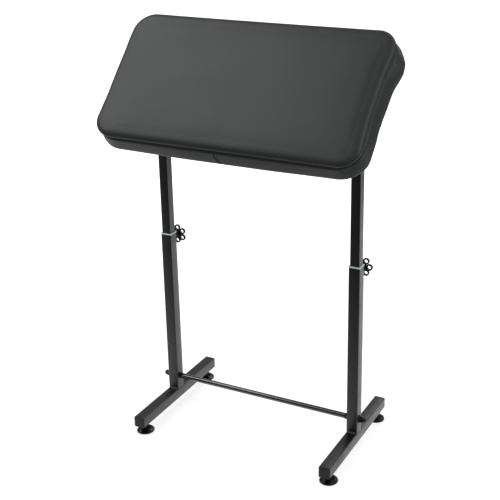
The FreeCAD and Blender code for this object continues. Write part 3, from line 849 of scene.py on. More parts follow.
@dataclass
class FloorFrame:
    """Two floor bars with end plugs, the outer posts with their weld beads, and the cross rod."""

    bar_width: float = 25.0
    bar_wall: float = 1.2
    tube_corner: float = 2.2
    plug_head: float = 3.0
    plug_edge: float = 1.0
    plug_skirt: float = 14.0
    plug_skirt_corner: float = 0.6
    plug_clearance: float = 0.2
    plug_crown: float = 0.15
    plug_crown_share: float = 0.6
    plug_crown_corner: float = 1.5
    weld_leg: float = 3.2
    weld_end_share: float = 0.35
    weld_ripple: float = 2.2
    weld_ripple_share: float = 0.10
    weld_hollow_share: float = 0.26
    weld_root: float = 0.4
    weld_short: float = 3.0
    weld_steps: int = 44
    rod_diameter: float = 12.0
    rod_edge: float = 1.0
    nut_flats: float = 13.0
    nut_height: float = 6.5
    washer_radius: float = 8.5
    washer_height: float = 1.6
    dome_radius: float = 6.0
    pin_hole: float = 0.1

    # Radius and height of the weld's collar round a clamp nut
    COLLAR = ((7.6, 0), (8.6, 0.05), (8.2, 0.8), (7.0, 1.6))

    def build(self) -> None:
        """Builds every piece of the frame."""
        tube = SquareTube(self.bar_width, self.tube_corner, self.bar_wall)
        for side in Side:
            tube.build(side.word + "_foot_bar", (0, 1, 0))
            tube.build(side.word + "_outer_post", (0, 0, 1))
        self.plugs()
        self.welds()
        self.rod()
        self.nuts()

    def plugs(self) -> None:
        """Pillowed heads on the ends of the bars, with their skirts inside."""
        width, corner, head = self.bar_width, self.tube_corner, self.plug_head
        skirt = width - 2 * self.bar_wall - self.plug_clearance
        plug = Shell().skin([
            square_row(skirt, self.plug_skirt_corner, -self.plug_skirt),
            square_row(skirt, self.plug_skirt_corner, 0), square_row(width, corner, 0),
            *rolled_edge(width, corner, head, self.plug_edge)[1:],
            square_row(width * self.plug_crown_share, self.plug_crown_corner, head + self.plug_crown)])
        shell = Shell()
        for side in Side:
            low, high = box_mm(side.word + "_foot_bar")
            centre = (low + high) / 2
            for end in End:
                face = centre.y + end.value * (high.y - low.y) / 2
                shell.add(plug, along((0, end.value, 0), (centre.x, face, centre.z)))
        piece("bar_end_plug_heads", shell, PLUG_PLASTIC, ["bar_end_plugs"])

    def welds(self) -> None:
        """Rippled fillet beads across the front and back of each post's foot."""
        shell = Shell()
        length = self.bar_width - self.weld_short
        root = self.weld_root
        for side in Side:
            low, high = box_mm(side.word + "_outer_post")
            for end in End:
                face = low.y if end is End.FRONT else high.y
                rows = []
                for step in range(self.weld_steps + 1):
                    share = step / self.weld_steps
                    x = (low.x + high.x) / 2 + (share - 0.5) * length
                    taper = math.sqrt(max(0.0, 1 - (2 * share - 1) ** 8))
                    wave = abs(math.sin(math.pi * share * length / self.weld_ripple))
                    leg = self.weld_leg * (1 + self.weld_ripple_share * wave)
                    leg *= self.weld_end_share + (1 - self.weld_end_share) * taper
                    row = [Vector((x, face - end.value * root, low.z - root))]
                    for turn in quarter(6):
                        swell = leg * (1 - self.weld_hollow_share * (1 - abs(math.cos(2 * turn))))
                        out, rise = swell * math.cos(turn), swell * math.sin(turn)
                        row.append(Vector((x, face + end.value * out, low.z + rise)))
                    rows.append(row)
                shell.skin(rows)
        piece("post_weld_beads", shell, POWDER, ["post_welds"], crease_deg=60.0)

    def rod(self) -> None:
        """The round rod, with chamfered shoulders and threaded ends."""
        _, high = box_mm("cross_rod")
        centre = middle("cross_rod")
        shoulder = max(abs(corner.x) for corner in box_mm("rod_inner_nuts")) - self.nut_height
        radius, edge = self.rod_diameter / 2, self.rod_edge
        bar = turned([
            (radius - edge, -shoulder), (radius, edge - shoulder), (radius, shoulder - edge),
            (radius - edge, shoulder)])
        thread = Thread().shell(high.x - shoulder)
        for side in Side:
            bar.add(thread, along((0, 0, side.value), (0, 0, side.value * shoulder)))
        piece("cross_rod_bar", bar, BLACK_CHROME, ["cross_rod"], along((1, 0, 0), (0, centre.y, centre.z)))

    def cap_nut(self, length: float) -> Shell:
        """A domed nut about Z.

        Args:
            length: from its seat to the dome's top.

        Returns:
            Its shell.
        """
        rows = hexagon(self.nut_flats, 0, self.nut_height)
        rows.append(circle(self.dome_radius, self.nut_height))
        for turn in quarter(8):
            radius = max(self.pin_hole / 2, self.dome_radius * math.cos(turn))
            rows.append(circle(radius, length - self.dome_radius + self.dome_radius * math.sin(turn)))
        return Shell().skin(rows)

    def nuts(self) -> None:
        """Plain nuts, washers and domed nuts on the rod, and the nuts welded on the posts."""
        rod, clamps = middle("cross_rod"), middle("height_clamp_nuts")
        inner_low, _ = box_mm("rod_inner_nuts")
        dome_low, _ = box_mm("rod_dome_nuts")
        clamp_low, clamp_high = box_mm("height_clamp_nuts")
        rim, thick, hole = self.washer_radius, self.washer_height, self.pin_hole
        plain = Shell().skin(hexagon(self.nut_flats, 0, self.nut_height))
        washer = turned(softened([(hole, 0), (rim, 0, 0.3), (rim, thick, 0.5), (hole, thick)]))
        clamp = Shell().skin(hexagon(self.nut_flats, 0, clamp_high.y - clamp_low.y, bevel_low=False))
        clamp.add(turned(self.COLLAR))
        inner_nuts, cap_nuts, washers, weld_nuts = Shell(), Shell(), Shell(), Shell()
        for side in Side:
            sign = side.value
            post = middle(side.word + "_outer_post")
            seat = abs(post.x) + self.bar_width / 2
            inner_nuts.add(plain, along((-sign, 0, 0), (-sign * inner_low.x, rod.y, rod.z)))
            washers.add(washer, along((sign, 0, 0), (sign * seat, rod.y, rod.z)))
            cap_nuts.add(self.cap_nut(-dome_low.x - seat - thick),
                         along((sign, 0, 0), (sign * (seat + thick), rod.y, rod.z)))
            weld_nuts.add(clamp, along((0, 1, 0), (post.x, clamp_low.y, clamps.z)))
        piece("rod_plain_nuts", inner_nuts, BLACK_ZINC, ["rod_inner_nuts"])
        piece("rod_cap_nuts", cap_nuts, BLACK_ZINC, ["rod_dome_nuts"])
        piece("rod_flat_washers", washers, BLACK_ZINC, ["rod_washers"])
        piece("clamp_weld_nuts", weld_nuts, POWDER, ["height_clamp_nuts"])


@dataclass
class SlidingPosts:
    """The inner posts and the green bushings that they run in."""

    inner_width: float = 21.0
    inner_corner: float = 1.8
    outer_width: float = 25.0
    lip_overhang: float = 0.7
    lip_height: float = 2.5
    lip_edge: float = 0.8
    lip_corner: float = 2.6
    passage: float = 21.2
    passage_corner: float = 1.9
    passage_top_corner: float = 2.2
    passage_edge: float = 0.4
    sleeve: float = 30.0
    sleeve_width: float = 22.5
    sleeve_corner: float = 1.2

    def build(self) -> None:
        """Builds both posts and both bushings."""
        for side in Side:
            SquareTube(self.inner_width, self.inner_corner).build(side.word + "_inner_post", (0, 0, 1))
            self.bushing(side.word + "_post_bushing")

    def bushing(self, node: str) -> None:
        """A moulded sleeve with a softened lip.

        Args:
            node: the bushing's node.
        """
        _, high = box_mm(node)
        centre = middle(node)
        width, top = self.outer_width + 2 * self.lip_overhang, self.lip_height
        rows = [
            square_row(self.passage, self.passage_corner, -self.sleeve),
            square_row(self.sleeve_width, self.sleeve_corner, -self.sleeve),
            square_row(self.sleeve_width, self.sleeve_corner, 0), square_row(width, self.lip_corner, 0),
            *rolled_edge(width, self.lip_corner, top, self.lip_edge),
            square_row(self.passage + 2 * self.passage_edge, self.passage_top_corner, top),
            square_row(self.passage, self.passage_corner, top - self.passage_edge)]
        place = Matrix.Translation((centre.x, centre.y, high.z - top))
        piece(node + "_sleeve", Shell().skin(rows, Closing.RING), MINT_NYLON, [node], place)


@dataclass
class RingKnob:
    """A clamp knob with six rings round a hub, moulded in one piece with its neck."""

    rings: int = 6
    centres: float = 29.6
    ring_diameter: float = 14.2
    ring_hole: float = 7.9
    height: float = 6.4
    soften: float = 1.4
    hub_diameter: float = 18.0
    hub_rise: float = 1.5
    neck_diameter: float = 13.0
    neck: float = 7.5
    neck_bore: float = 8.6
    fillet: float = 0.7
    least_step: float = 0.02
    ring_steps: int = 40
    hole_steps: int = 32

    def outline(self) -> list[tuple[float, float]]:
        """The outer edge of hub and rings, with small fillets where they meet.

        Returns:
            The edge's points, counter-clockwise.
        """
        reach, hub, ring = self.centres / 2, self.hub_diameter / 2, self.ring_diameter / 2
        x = (reach ** 2 + (hub + self.fillet) ** 2 - (ring + self.fillet) ** 2) / (2 * reach)
        y = math.sqrt((hub + self.fillet) ** 2 - x ** 2)
        lean = math.atan2(y, x)
        points: list[tuple[float, float]] = []

        def arc(centre: Vector, radius: float, start: float, sweep: float, steps: int) -> None:
            """Adds an arc's points.

            Args:
                centre: its centre.
                radius: its radius.
                start: the angle that it starts at.
                sweep: the angle that it covers, below zero for clockwise.
                steps: how many pieces it has.
            """
            for step in range(steps + 1):
                turn = start + sweep * step / steps
                points.append((centre.x + radius * math.cos(turn), centre.y + radius * math.sin(turn)))

        def blend(spot: Vector, leaving: Vector, arriving: Vector) -> None:
            """Adds a fillet.

            Args:
                spot: its centre.
                leaving: the direction from there to its start.
                arriving: the direction from there to its end.
            """
            start = math.atan2(leaving.y, leaving.x)
            sweep = (math.atan2(arriving.y, arriving.x) - start + math.pi) % FULL_TURN - math.pi
            arc(spot, self.fillet, start, sweep, 5)

        for number in range(self.rings):
            base = FULL_TURN * number / self.rings
            spin = Matrix.Rotation(base, 2)
            centre, before, after = (spin @ Vector(spot) for spot in ((reach, 0), (x, -y), (x, y)))
            first, last = (math.atan2(spot.y - centre.y, spot.x - centre.x) for spot in (before, after))
            blend(before, -before, centre - before)
            arc(centre, ring, first, (last - first) % FULL_TURN, self.ring_steps)
            blend(after, centre - after, -after)
            arc(Vector((0, 0)), hub, base + lean, FULL_TURN / self.rings - 2 * lean, 3)
        return [here for here, last in zip(points, points[-1:] + points)
                if math.dist(here, last) > self.least_step]

    def plate(self) -> Shell:
        """Hub and rings as a plate with rounded edges.

        Returns:
            The plate, centred on the origin.
        """
        curve = bpy.data.curves.new("knob_outline", "CURVE")
        curve.dimensions = "2D"
        curve.fill_mode = "BOTH"
        curve.extrude = self.height / 2 - self.soften
        curve.bevel_depth = self.soften
        curve.bevel_resolution = 4
        curve.offset = -self.soften
        loops = [self.outline()]
        for number in range(self.rings):
            spoke = Matrix.Rotation(FULL_TURN * number / self.rings, 2) @ Vector((self.centres / 2, 0))
            hole = circle(self.ring_hole / 2, 0, self.hole_steps)
            loops.append([(spoke.x + point.x, spoke.y + point.y) for point in hole])
        for loop in loops:
            spline = curve.splines.new("POLY")
            spline.points.add(len(loop) - 1)
            for point, (x, y) in zip(spline.points, loop):
                point.co = (x, y, 0, 1)
            spline.use_cyclic_u = True
        holder = placed("knob_outline", curve)
        data = evaluated(holder)
        shell = Shell([vertex.co.copy() for vertex in data.vertices],
                      [tuple(face.vertices) for face in data.polygons])
        bpy.data.objects.remove(holder)
        bpy.data.meshes.remove(data)
        return shell

    def shell(self) -> Shell:
        """The whole knob about Z, with its neck's end at the origin.

        Returns:
            Its shell.
        """
        top = self.neck + self.height + self.hub_rise
        hub, neck = self.hub_diameter / 2, self.neck_diameter / 2
        boss = turned(softened([
            (self.neck_bore / 2, 0), (neck, 0, 0.6), (neck - 0.4, self.neck, 1.2),
            (hub - 0.8, self.neck + 0.4), (hub - 0.4, top, 2.2), (hub - 5.5, top, 0.8),
            (hub - 6.0, top - 0.5, 0.2), (0.1, top - 0.5)]), 64)
        plate_place = Matrix.Translation((0, 0, self.neck + self.height / 2))
        return Shell().add(self.plate(), plate_place).add(boss)


@dataclass
class HeightClamps:
    """The ring knobs and screws that lock the inner posts."""

    knob_turn_deg: tuple[tuple[Side, float], ...] = ((Side.LEFT, 30.0), (Side.RIGHT, 0.0))

    def build(self) -> None:
        """Builds both clamps."""
        knob = RingKnob().shell()
        for side, turn in self.knob_turn_deg:
            node = side.word + "_height_knob"
            low, _ = box_mm(node)
            centre = middle(node)
            spin = Matrix.Rotation(math.radians(turn), 4, "Z")
            place = along((0, 1, 0), (centre.x, low.y, centre.z)) @ spin
            piece(node + "_moulding", knob, KNOB_NYLON, [node], place, 40.0, merge_mm=0.01)
            threaded(side.word + "_height_screw", (0, 1, 0))


@dataclass
class LevellingFeet:
    """Round gloss feet with a hexagon, on threaded stems."""

    diameter: float = 40.0
    rim: float = 5.0
    hub: float = 22.0
    dish: float = 3.0
    flats: float = 17.0
    hexagon_height: float = 4.0
    bore: float = 8.4
    bore_edge: float = 0.2

    def build(self) -> None:
        """Builds the four feet."""
        radius, crown = self.diameter / 2, self.rim + self.dish
        top = crown + self.hexagon_height
        profile = softened([
            (0.1, 0), (radius - 3.0, 0), (radius, 1.2, 1.0), (radius, self.rim, 1.8),
            (self.hub / 2 + 2.0, self.rim + 0.9, 3.0), (self.hub / 2, crown, 0.6),
            (self.flats / 2 - 1, crown)])
        foot = Shell().skin([
            *(circle(r, z) for r, z in profile), *hexagon(self.flats, crown, top, bevel_low=False),
            circle(self.bore / 2 + self.bore_edge, top), circle(self.bore / 2, top - 3 * self.bore_edge)])
        for side in Side:
            for end in End:
                name = f"{side.word}_{end.word}_foot_"
                centre = middle(name + "glide")
                place = Matrix.Translation((centre.x, centre.y, 0))
                piece(name + "glide_moulding", foot, FOOT_PLASTIC, [name + "glide"], place)
                threaded(name + "stud", (0, 0, 1))


@dataclass
class TiltClamps:
    """The round knobs and screws on the tilt axis."""

    knob_diameter: float = 34.0
    neck_diameter: float = 13.0
    neck: float = 7.5
    neck_bore: float = 8.6
    grip: float = 9.0
    flutes: int = 18
    flute_depth: float = 0.7
    flute_reach: float = 1.2

    def build(self) -> None:
        """Builds both clamps."""
        for side in Side:
            post = middle(side.word + "_inner_post")
            node = side.word + "_tilt_knob"
            low, high = box_mm(node)
            start = low.x if side is Side.LEFT else high.x
            place = along((-side.value, 0, 0), (start, post.y, middle(node).z))
            piece(node + "_moulding", self.knob(), KNOB_NYLON, [node], place, 40.0)
            threaded(side.word + "_tilt_screw", (-side.value, 0, 0))

    def knob(self) -> Shell:
        """A fluted knob about Z.

        Returns:
            Its shell, with its neck's end at the origin.
        """
        rim, neck, top = self.knob_diameter / 2, self.neck_diameter / 2, self.neck + self.grip
        profile = softened([
            (self.neck_bore / 2, 0), (neck, 0, 0.6), (neck, self.neck, 1.5), (rim - 2, self.neck, 1.0),
            (rim, self.neck + 1.5, 1.0), (rim, top - 1.5, 1.2), (rim - 2.5, top, 1.5), (0.1, top)])
        rows = []
        for radius, height in profile:
            depth = self.flute_depth if radius > rim - self.flute_reach else 0.0
            rows.append(polar(
                lambda turn, r=radius, h=height, d=depth:
                    (r - d * (0.5 - 0.5 * math.cos(self.flutes * turn)) ** 2, h),
                self.flutes * 8))
        return Shell().skin(rows)


@dataclass
class PadFrame:
    """Where the pad's own frame lies: its origin is on the tilt axis, and +Z is its top."""

    tilt_deg: float = 46.0
    pivot_below_top: float = 12.0
    standoff: float = 42.0

    def matrix(self) -> Matrix:
        """The matrix from the pad's underside to the stand, in millimetres.

        Returns:
            The matrix.
        """
        _, high = box_mm("left_inner_post")
        pivot = Matrix.Translation((0, middle("left_inner_post").y, high.z - self.pivot_below_top))
        tilt = Matrix.Rotation(math.radians(self.tilt_deg), 4, "X")
        return pivot @ tilt @ Matrix.Translation((0, 0, self.standoff))


@dataclass
class Cushion:
    """The upholstered pad: sewn cover, seams, dust cloth and staples, in its own frame."""

    width: float = 605.0
    depth: float = 315.0
    long_steps: int = 96
    short_steps: int = 30
    corner_steps: int = 20
    draw_share: float = 0.35
    crown_reach: float = 61.0
    crown_rise: float = 1.2
    pressure: float = 4.0
    frames: int = 20
    stretch_stiffness: float = 30.0
    bending_stiffness: float = 2.0
    top_cap: float = 1.2
    side_cap: float = 0.8
    ease_passes: int = 14
    rear_fill: float = 0.8
    rear_reach: float = 60.0
    rear_blend: float = 45.0
    end_reach: float = 90.0
    end_blend: float = 60.0
    top_start: float = 18.0
    top_blend: float = 15.0
    pleat_reach: float = 74.0
    pleat_depth: float = 0.9
    pleat_start: float = 14.0
    pleats_per_corner: int = 9
    gather_depth: float = 0.35
    gather_size: float = 9.0
    gather_spread: float = 4.5
    gather_top: float = 44.0
    drag_reach: float = 78.0
    drag_depth: float = 0.9
    drag_span: tuple[float, float] = (2.0, 29.5)
    drag_length: float = 40.0
    drags_per_radian: float = 7.0
    join_crowding: float = 0.18
    join_depth: float = 2.7
    join_half_width: float = 1.5
    join_start: float = 0.5
    join_blend: float = 5.0
    join_belt: float = 14.0
    lip_share: float = 0.1
    lip_place: float = 2.6
    lip_width: float = 1.2
    stitch_pitch: float = 4.0
    stitch_length: float = 3.1
    stitch_radius: float = 0.32
    stitch_end_share: float = 0.35
    cloth_inset: float = 19.5
    cloth_corner: float = 52.0
    cloth_height: float = -0.75
    cloth_steps: int = 12
    staple_inset: float = 5.0
    staple_pitch: float = 32.0
    staple_tilt: float = 0.25
    wire_half_width: float = 0.6
    wire_half_height: float = 0.28
    wire_bend: float = 5.0

    # Inset from the widest line, corner radius, how far the ends are drawn in midway, how far the long
    # sides are, height
    PROFILE = (
        (26.7, 38.0, 4.0, 0.0, 1.0), (26.7, 38.0, 4.0, 0.0, 0.1), (20.2, 44.0, 4.0, 0.0, 0.0),
        (12.9, 50.0, 4.4, -0.6, 0.0), (7.4, 55.0, 4.6, -1.2, 0.1), (3.6, 58.5, 4.6, -1.6, 0.8),
        (1.4, 60.5, 4.6, -1.8, 2.4), (0.5, 62.0, 4.6, -2.0, 5.2), (1.0, 62.0, 4.6, -1.9, 9.4),
        (1.9, 61.5, 4.5, -1.7, 14.2), (2.8, 61.0, 4.3, -1.4, 18.9), (3.7, 60.5, 4.1, -1.1, 23.4),
        (4.5, 60.0, 3.8, -0.7, 27.6), (5.2, 59.0, 3.5, -0.3, 31.2), (5.9, 58.0, 3.2, -0.1, 33.2),
        (8.2, 56.5, 3.0, 0.1, 34.1), (6.6, 55.0, 2.8, 0.2, 34.5), (6.1, 53.5, 2.6, 0.3, 35.1),
        (6.8, 52.0, 2.5, 0.4, 35.7), (9.2, 49.7, 2.3, 0.5, 36.3), (8.0, 47.8, 2.3, 0.5, 37.2),
        (7.3, 46.5, 2.3, 0.5, 39.2), (7.5, 45.1, 2.3, 0.5, 41.9), (8.9, 43.2, 2.3, 0.5, 44.4),
        (11.7, 40.9, 2.3, 0.5, 46.5), (16.0, 37.7, 2.2, 0.5, 47.85), (22.2, 33.1, 2.0, 0.4, 48.65),
        (30.4, 27.6, 1.8, 0.3, 49.0),
    )
    # Rows of the profile: the first one that isn't held by the board, the band's lower crease, its
    # middle with the stitches, and its upper crease
    FIRST_FREE = 5
    JOIN_CREASE = 15
    BAND_ROW = 17
    TOP_CREASE = 19
    # Place along Y, then how far the ends stand out of their line there: left and right side band,
    # left and right edge of the top
    END_SWELL = (
        (-160, 0.0, 0.0, 0.0, 0.0), (-130, 0.0, -1.0, 0.0, -3.0), (-95, 0.0, -5.5, 0.0, -6.0),
        (-60, 0.0, -4.0, 1.0, -6.5), (-25, 0.0, -2.0, 3.0, -6.0), (5, 0.5, -0.5, 4.0, -5.5),
        (30, 1.0, 0.5, 4.4, -5.0), (46, 2.0, 1.5, 4.4, -4.5), (62, 3.0, 4.5, 4.4, -4.0),
        (80, 4.0, 6.5, 4.4, -3.0), (97, 3.5, 4.5, 4.0, -2.0), (125, 2.0, 0.0, 3.0, -1.0),
        (160, 0.0, 0.0, 1.0, 0.0),
    )
    # Height, and how far along X the side band's join lies there
    JOIN_LINE = ((0.0, 1.5), (9.0, 0.0), (11.5, -3.0), (15.0, -6.0), (19.0, -7.8), (26.0, -8.8), (36.0, -9.4))
    # How far in each line of the dust cloth's folded edge lies, and how far over its lowest one
    FOLD = ((0.0, 0.3), (1.0, 0.0), (10.0, 0.0), (12.0, 0.35))
    # A staple's wire: place along it, and height over the cloth's lowest line
    WIRE = ((-5.2, 0.9), (-5.1, -0.25), (-4.5, -0.55), (4.5, -0.55), (5.1, -0.25), (5.2, 0.9))

    def build(self) -> None:
        """Builds the cover, its seams and the underside."""
        place = PadFrame().matrix()
        shell, count = self.shell()
        self.stuff(shell, count)
        self.swell(shell)
        self.pleat(shell, count)
        data = refined(shell.mesh("cushion"))
        self.pucker(data)
        self.join(data)
        surface = BVHTree.FromPolygons(
            [vertex.co / MM for vertex in data.vertices], [tuple(face.vertices) for face in data.polygons])
        data.transform(Matrix.Scale(MM, 4) @ place @ Matrix.Scale(1 / MM, 4))
        cover = piece("cushion", data, VINYL, ["pad_cover", "pad_foam"], crease_deg=70.0)
        self.stitches(surface, place)
        self.underside(place)

    def row(self, inset: float, corner: float, end_drawn: float, side_drawn: float, height: float) -> Row:
        """One closed level of the pad.

        Args:
            inset: how far inside the widest line it lies.
            corner: its corners' radius.
            end_drawn: how far its ends are drawn in midway.
            side_drawn: how far its long sides are.
            height: its height.

        Returns:
            Its points, from the middle of the rear right corner round the back.
        """
        reach_x = self.width / 2 - inset
        reach_y = self.depth / 2 - inset
        points: Row = []
        for number, (sx, sy) in enumerate(QUARTERS):
            centre = Vector((sx * (reach_x - corner), sy * (reach_y - corner), height))
            for step in range(self.corner_steps + 1):
                turn = math.pi / 2 * (number + step / self.corner_steps)
                points.append(centre + Vector((math.cos(turn), math.sin(turn), 0)) * corner)
            long_side = number % 2 == 0
            steps = self.long_steps if long_side else self.short_steps
            drawn = side_drawn if long_side else end_drawn
            tx, ty = QUARTERS[(number + 1) % 4]
            spoke = math.pi / 2 * (number + 1)
            outward = Vector((math.cos(spoke), math.sin(spoke), 0))
            first = points[-1]
            last = Vector((tx * (reach_x - corner), ty * (reach_y - corner), height)) + outward * corner
            join = 0.5 - sx * self.join_x(height) / (2 * (reach_x - corner)) if long_side else 0.5
            for step in range(1, steps):
                share = self.crowded(step / steps, join) if long_side else step / steps
                rise = min(1.0, min(share, 1 - share) / self.draw_share)
                points.append(first.lerp(last, share) - outward * (drawn * eased(rise)))
        half = self.corner_steps // 2
        return points[half:] + points[:half]

    def join_x(self, height: float) -> float:
        """How far along X the side band's join lies at a height."""
        return looked_up(self.JOIN_LINE, height)[0]

    def crowded(self, even: float, centre: float) -> float:
        """Moves an evenly spaced share towards a centre, so that a narrow seam gets its own points.

        Args:
            even: the share, from 0 to 1.
            centre: where the seam is.

        Returns:
            The moved share.
        """
        away = 2 * even - 1
        spread = self.join_crowding * away + (1 - self.join_crowding) * away * abs(away)
        return centre + spread * ((1 - centre) if spread > 0 else centre)

    def shell(self) -> tuple[Shell, int]:
        """The cover before it is stuffed.

        Returns:
            The shell, and how many points each of its rows has.
        """
        rows = [self.row(*level) for level in self.PROFILE]
        edge, count = rows[-1], len(rows[0])
        shell = Shell().skin(rows, Closing.OPEN)
        across, down = self.long_steps + self.corner_steps, self.short_steps + self.corner_steps
        base = len(shell.points) - count
        inset, _, _, _, height = self.PROFILE[-1]
        reach = Vector((self.width / 2 - inset, self.depth / 2 - inset))

        def boundary(u: int, v: int) -> int | None:
            """The row's point at a place on the grid's edge.

            Args:
                u: the place along X, from the rear right corner.
                v: the place along Y, from there.

            Returns:
                The point's number in its row, or None inside the grid.
            """
            if v == 0:
                return u
            if u == across:
                return across + v
            if v == down:
                return 2 * across + down - u
            if u == 0:
                return (2 * across + 2 * down - v) % count
            return None

        corners = [edge[boundary(u, v)] for u, v in ((0, 0), (across, 0), (0, down), (across, down))]
        index: dict[tuple[int, int], int] = {}
        for u in range(across + 1):
            for v in range(down + 1):
                on_edge = boundary(u, v)
                if on_edge is not None:
                    index[u, v] = base + on_edge
                    continue
                s, t = u / across, v / down
                rear, front = edge[boundary(u, 0)], edge[boundary(u, down)]
                right, left = edge[boundary(0, v)], edge[boundary(across, v)]
                point = (rear * (1 - t) + front * t + right * (1 - s) + left * s
                         - corners[0] * (1 - s) * (1 - t) - corners[1] * s * (1 - t)
                         - corners[2] * (1 - s) * t - corners[3] * s * t)
                rise = self.crown_rise
                for inside in (reach.x - abs(point.x), reach.y - abs(point.y)):
                    rise *= 1 - (1 - unit(inside / self.crown_reach)) ** 2
                point.z = height + rise
                index[u, v] = len(shell.points)
                shell.points.append(point)
        for u in range(across):
            for v in range(down):
                shell.faces.append((index[u, v], index[u + 1, v], index[u + 1, v + 1], index[u, v + 1]))
        return shell, count

    def stuff(self, shell: Shell, count: int) -> None:
        """Blows the cover up by a cloth simulation, held at its seams and under the board.

        Args:
            shell: the cover, whose points are moved.
            count: how many points each of its rows has.
        """
        held = set(range(self.FIRST_FREE * count))
        held.update(range(self.JOIN_CREASE * count, (self.TOP_CREASE + 1) * count))
        trial = placed("stuffing_trial", shell.mesh("stuffing_trial"))
        trial.vertex_groups.new(name="held").add(sorted(held), 1.0, "REPLACE")
        settings = trial.modifiers.new("stuffing", "CLOTH").settings
        settings.vertex_group_mass = "held"
        settings.use_pressure = True
        settings.uniform_pressure_force = self.pressure
        settings.quality = 6
        settings.tension_stiffness = self.stretch_stiffness
        settings.compression_stiffness = self.stretch_stiffness
        settings.bending_stiffness = self.bending_stiffness
        settings.effector_weights.gravity = 0.0
        scene = bpy.context.scene
        for number in range(1, self.frames + 1):
            scene.frame_set(number)
        puffed = evaluated(trial)
        shifts = []
        for number, vertex in enumerate(puffed.vertices):
            shift = vertex.co / MM - shell.points[number]
            cap = self.top_cap if number >= self.TOP_CREASE * count else self.side_cap
            shifts.append(shift * (cap / (cap + shift.length)))
        self.ease(shell, shifts, held)
        scene.frame_set(1)
        bpy.data.objects.remove(trial)
        bpy.data.meshes.remove(puffed)

    def ease(self, shell: Shell, shifts: list[Vector], held: set[int]) -> None:
        """Moves the cover by the stuffing's shifts, with their small folds evened out.

        Args:
            shell: the cover, whose points are moved.
            shifts: how far the stuffing moves each point.
            held: the points that stay where they are.
        """
        beside: list[set[int]] = [set() for _ in shell.points]
        for face in shell.faces:
            for number, other in zip(face, face[1:] + face[:1]):
                beside[number].add(other)
                beside[other].add(number)
        free = [number for number in range(len(shifts)) if number not in held]
        for _ in range(self.ease_passes):
            means = [sum((shifts[other] for other in beside[number]), Vector()) / len(beside[number])
                     for number in free]
            for number, mean in zip(free, means):
                shifts[number] = mean
        for number, shift in enumerate(shifts):
            shell.points[number] = shell.points[number] + shift

    def swell(self, shell: Shell) -> None:
        """Fills the cover unevenly: full at the rear corners, drawn in towards the front right one.

        Args:
            shell: the cover, whose points are moved.
        """
        for point in shell.points:
            top = unit((point.z - self.top_start) / self.top_blend)
            rear = unit((point.y - self.depth / 2 + self.rear_reach) / self.rear_blend)
            end = unit((abs(point.x) - self.width / 2 + self.end_reach) / self.end_blend)
            point.y += self.rear_fill * rear * top
            if not end:
                continue
            swells = looked_up(self.END_SWELL, point.y, soft=True)
            band, edge = swells[0::2] if point.x < 0 else swells[1::2]
            point.x += (band + (edge - band) * top) * end * math.copysign(1, point.x)

    def round_corner(self, point: Vector, reach: float) -> float | None:
        """The angle of a point round the pad's nearest corner.

        Args:
            point: the point.
            reach: how far the corners' part of the pad goes in from its sides.

        Returns:
            The angle, or None away from the corners.
        """
        dx = abs(point.x) - (self.width / 2 - reach)
        dy = abs(point.y) - (self.depth / 2 - reach)
        return math.atan2(dy, dx) if dx > 0 and dy > 0 else None

    def pleat(self, shell: Shell, count: int) -> None:
        """Gathers the cover's returned edge into small folds round the corners.

        Args:
            shell: the cover, whose points are moved.
            count: how many points each of its rows has.
        """
        for row in range(2, self.FIRST_FREE):
            for point in shell.points[row * count:(row + 1) * count]:
                turn = self.round_corner(point, self.pleat_reach)
                if turn is not None:
                    share = math.sin(2 * turn) * min(1.0, self.PROFILE[row][0] / self.pleat_start)
                    fold = 0.5 + 0.5 * math.cos(turn * 4 * self.pleats_per_corner)
                    point.z -= self.pleat_depth * share * fold

    def pucker(self, data: Mesh) -> None:
        """Draws small gathers beside the seams and soft drag lines down the corners.

        Args:
            data: the cover's mesh, whose points are moved.
        """
        seams = (self.PROFILE[self.JOIN_CREASE][-1], self.PROFILE[self.TOP_CREASE][-1])
        low, high = self.drag_span
        for vertex in data.vertices:
            point = vertex.co / MM
            away = Vector((point.x, point.y, 0)).normalized()
            if point.z < self.gather_top:
                near = max(math.exp(-((point.z - height) / self.gather_spread) ** 2) for height in seams)
                gather = noise.noise(Vector((point.x / self.gather_size, point.y / self.gather_size, 3.1)))
                vertex.co += away * (gather * self.gather_depth * near * MM)
            turn = self.round_corner(point, self.drag_reach)
            if turn is not None and low < point.z < high:
                fade = math.sin(2 * turn) * math.sin(math.pi * (point.z - low) / 30)
                drag = noise.noise(Vector((turn * self.drags_per_radian, point.z / self.drag_length, 9.7)))
                vertex.co += away * (self.drag_depth * drag * fade * MM)

    def join(self, data: Mesh) -> None:
        """Draws the cover in along the seam where the side band's two ends meet, in front and behind.

        Args:
            data: the cover's mesh, whose points are moved.
        """
        top = self.PROFILE[self.JOIN_CREASE][-1]
        for vertex in data.vertices:
            point = vertex.co / MM
            if not self.join_start < point.z < top or abs(point.y) < self.depth / 2 - self.join_belt:
                continue
            gap = abs(point.x - self.join_x(point.z)) / self.join_half_width
            valley = math.exp(-gap ** 2)
            lips = self.lip_share * math.exp(-((gap - self.lip_place) / self.lip_width) ** 2)
            fade = min(1.0, (point.z - self.join_start) / self.join_blend)
            vertex.co.y += math.copysign(1, point.y) * self.join_depth * (lips - valley) * fade * MM

